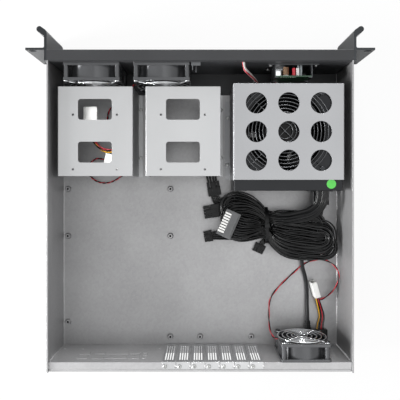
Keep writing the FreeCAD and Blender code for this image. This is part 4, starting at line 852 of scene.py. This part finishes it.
def guard(name, node, place, inner, outer, pitch, wire, rings):
    """A finger guard with its bars against the fan at the place, and its rings outside them."""
    bm = bmesh.new()
    reach = pitch / 2 * math.sqrt(2)
    for turn in (45, 135):
        spin = Matrix.Rotation(math.radians(turn), 4, "Z") @ Matrix.Translation((0, 0, wire / 2))
        bar = spin @ Matrix.Rotation(math.pi / 2, 4, "Y")
        bmesh.ops.create_cone(bm, cap_ends=True, segments=8, radius1=wire / 2, radius2=wire / 2,
                              depth=2 * reach - 0.006, matrix=place @ bar)
    for i in range(rings):
        radius = inner + (outer - inner) * i / (rings - 1)
        wire_ring(bm, place @ Matrix.Translation((0, 0, wire * 1.3)), radius, wire)
    for x in (-1, 1):
        for y in (-1, 1):
            eye_at = Matrix.Translation((x * pitch / 2, y * pitch / 2, wire / 2))
            wire_ring(bm, place @ eye_at, 0.0031, wire, 16)
    piece = keep(name, bm, ["chrome"] if node != "psu_fan_guard" else ["dark_wire"])
    for face in piece.data.polygons:
        face.use_smooth = True
    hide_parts(node)


LOOKS["dark_wire"] = finish("darkened_wire", "505153", "606163", rough=0.34, metal=1.0, drift_mm=30,
                            grain_mm=0.6, bump=0.03, edge_mm=0.1)
towards_rear = Matrix.Rotation(-math.pi / 2, 4, "X")
towards_front = Matrix.Rotation(math.pi / 2, 4, "X")
FRONT_FANS_X = {"left": 151.4, "right": 53.6}
for side, x in FRONT_FANS_X.items():
    guard(f"front_{side}_guard_wire", f"front_fan_{side}_guard", at(x, -165.7, 43.2) @ towards_rear,
          inner=0.0092, outer=0.0376, pitch=0.0715, wire=0.0016, rings=5)
guard("rear_guard_wire", "rear_fan_guard", at(-147.0, 200.5, 51.2) @ towards_front,
      inner=0.008, outer=0.0345, pitch=0.060, wire=0.0018, rings=5)
guard("supply_guard_wire", "psu_fan_guard", at(-117.5, -95.2, 83.0),
      inner=0.011, outer=0.0655, pitch=0.105, wire=0.0012, rings=12)

# %% [markdown]
# ## Screws
# A pan head has a rounded edge and a cross recess. The recess is a star of eight points with its middle
# pushed down, which reads as a cross from any distance at which the whole case is seen.


# %% Cross-recessed heads
def hoop(bm, place, radius, z, count):
    """A loop of points at a height, with its edges."""
    made = bmesh.ops.create_circle(bm, cap_ends=False, segments=count, radius=radius,
                                   matrix=place @ Matrix.Translation((0, 0, z)))["verts"]
    return made, list({e for v in made for e in v.link_edges})


def screw_head(bm, place, radius, height):
    """A pan head whose seat is at the place, with a short shank under it."""
    steps = [(0.45, -0.9), (0.45, 0.0), (1.0, 0.0), (1.0, 0.4), (0.9, 0.75), (0.68, 0.97)]
    loops = [hoop(bm, place, radius * r, height * z, 16)[1] for r, z in steps]
    points, edges = hoop(bm, place, radius * 0.5, height, 8)
    centre = place @ Matrix.Translation((0, 0, height))
    bmesh.ops.scale(bm, vec=(0.32, 0.32, 1.0), space=centre.inverted(), verts=points[1::2])
    for lower, upper in zip(loops, loops[1:] + [edges]):
        bmesh.ops.bridge_loops(bm, edges=lower + upper)
    bmesh.ops.contextual_create(bm, geom=loops[0])
    star = bmesh.ops.contextual_create(bm, geom=edges)["faces"]
    top = (place.to_3x3() @ Vector((0, 0, 1))).normalized()
    middle = bmesh.ops.poke(bm, faces=star)["verts"]
    bmesh.ops.translate(bm, verts=middle, vec=-top * height * 0.6)


FOOT_SCREW = (0.00275, 0.0016)
COVER_SCREW = (0.0030, 0.0020)
# Places in millimetres. Screws stand on both sides of the middle of a cage or of the bracket.
CAGES_X = (147.3, 23.9)
CAGE_SCREWS_BESIDE = 55.8
CAGE_SCREWS_Y = (-135.51, -61.47)
BRACKET_X = -122.6
BRACKET_SCREWS_BESIDE = 80.55
BRACKET_SCREWS_Y = (-123.18, -51.19)
SWITCH_BRACKET_SCREWS = [(x, z) for x in (-164.0, -100.0) for z in (36.8, 65.4)]
FIRST_COVER_X = 43.7
COVER_PITCH = 20.32
feet = [(x + side * CAGE_SCREWS_BESIDE, y) for x in CAGES_X for side in (-1, 1) for y in CAGE_SCREWS_Y]
feet += [(BRACKET_X + side * BRACKET_SCREWS_BESIDE, y) for side in (-1, 1) for y in BRACKET_SCREWS_Y]
bm = bmesh.new()
for k, (x, y) in enumerate(feet):
    screw_head(bm, at(x, y, 2.0, 23 * k), *FOOT_SCREW)
for k, (x, z) in enumerate(SWITCH_BRACKET_SCREWS):
    screw_head(bm, at(x, -189.7, z) @ towards_rear @ Matrix.Rotation(k * 0.5, 4, "Z"), *FOOT_SCREW)
foot_screws = keep("foot_screw_heads", bm, ["screw"])
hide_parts("bracket_screws")
bm = bmesh.new()
for k in range(7):
    screw_head(bm, at(FIRST_COVER_X - COVER_PITCH * k + 5.2, 230.9, 85.8, 31 * k), *COVER_SCREW)
cover_screws = keep("cover_screw_heads", bm, ["screw"])
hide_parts("slot_screws")

# %% [markdown]
# ## Small parts on the switch board
# Between the board and the front wall stand a capacitor, a red and a white connector, and a row of
# solder joints shows along the board's top edge.

# %% Board parts
LOOKS["ceramic"] = finish("ceramic_brown", "7d5f45", "8d6d50", rough=0.5, drift_mm=8, grain_mm=0.4,
                          edge_mm=0.2)
LOOKS["solder"] = finish("solder_joint", "9fb6a0", "b8ccb8", rough=0.3, metal=0.6, drift_mm=6, grain_mm=0.3,
                         edge_mm=0.1)
bm = bmesh.new()
standing = at(-121.5, -180.5, 66.0) @ Matrix.Rotation(math.pi / 2, 4, "X")
for radius, shift, depth, tone in ((0.0043, 0.0, 0.0125, 0), (0.0044, -0.0055, 0.0010, 1)):
    made = bmesh.ops.create_cone(bm, cap_ends=True, segments=20, radius1=radius, radius2=radius,
                                 depth=depth, matrix=standing @ Matrix.Translation((0, 0, shift)))
    for face in {f for v in made["verts"] for f in v.link_faces}:
        face.material_index = tone
block(bm, at(-132.5, -180.0, 66.5), (0.0040, 0.0110, 0.0080), 0.0004, 2)
block(bm, at(-138.0, -180.0, 66.5), (0.0042, 0.0110, 0.0080), 0.0004, 3)
for k in range(7):
    joint = at(-115.0 - 3.2 * k, -172.3, 69.5)
    made = bmesh.ops.create_icosphere(bm, subdivisions=1, radius=0.0009, matrix=joint)
    for face in {f for v in made["verts"] for f in v.link_faces}:
        face.material_index = 4
board_parts = keep("board_parts", bm, ["ceramic", "nylon", "wire_red", "nylon", "solder"])

# %% [markdown]
# The moulded strain relief of the inlet's plug has ribs, which let it bend without a kink.

# %% Ribs on the strain relief
bm = bmesh.new()
for k in range(5):
    y = 199.5 - 2.6 * k
    ring_at = at(-164.0, y, 9.0) @ Matrix.Rotation(math.pi / 2, 4, "X")
    wire_ring(bm, ring_at, (4.75 - 0.24 * k) * MM, 1.3 * MM, 20)
boot_ribs = keep("boot_ribs", bm, ["black"])
for face in boot_ribs.data.polygons:
    face.use_smooth = True
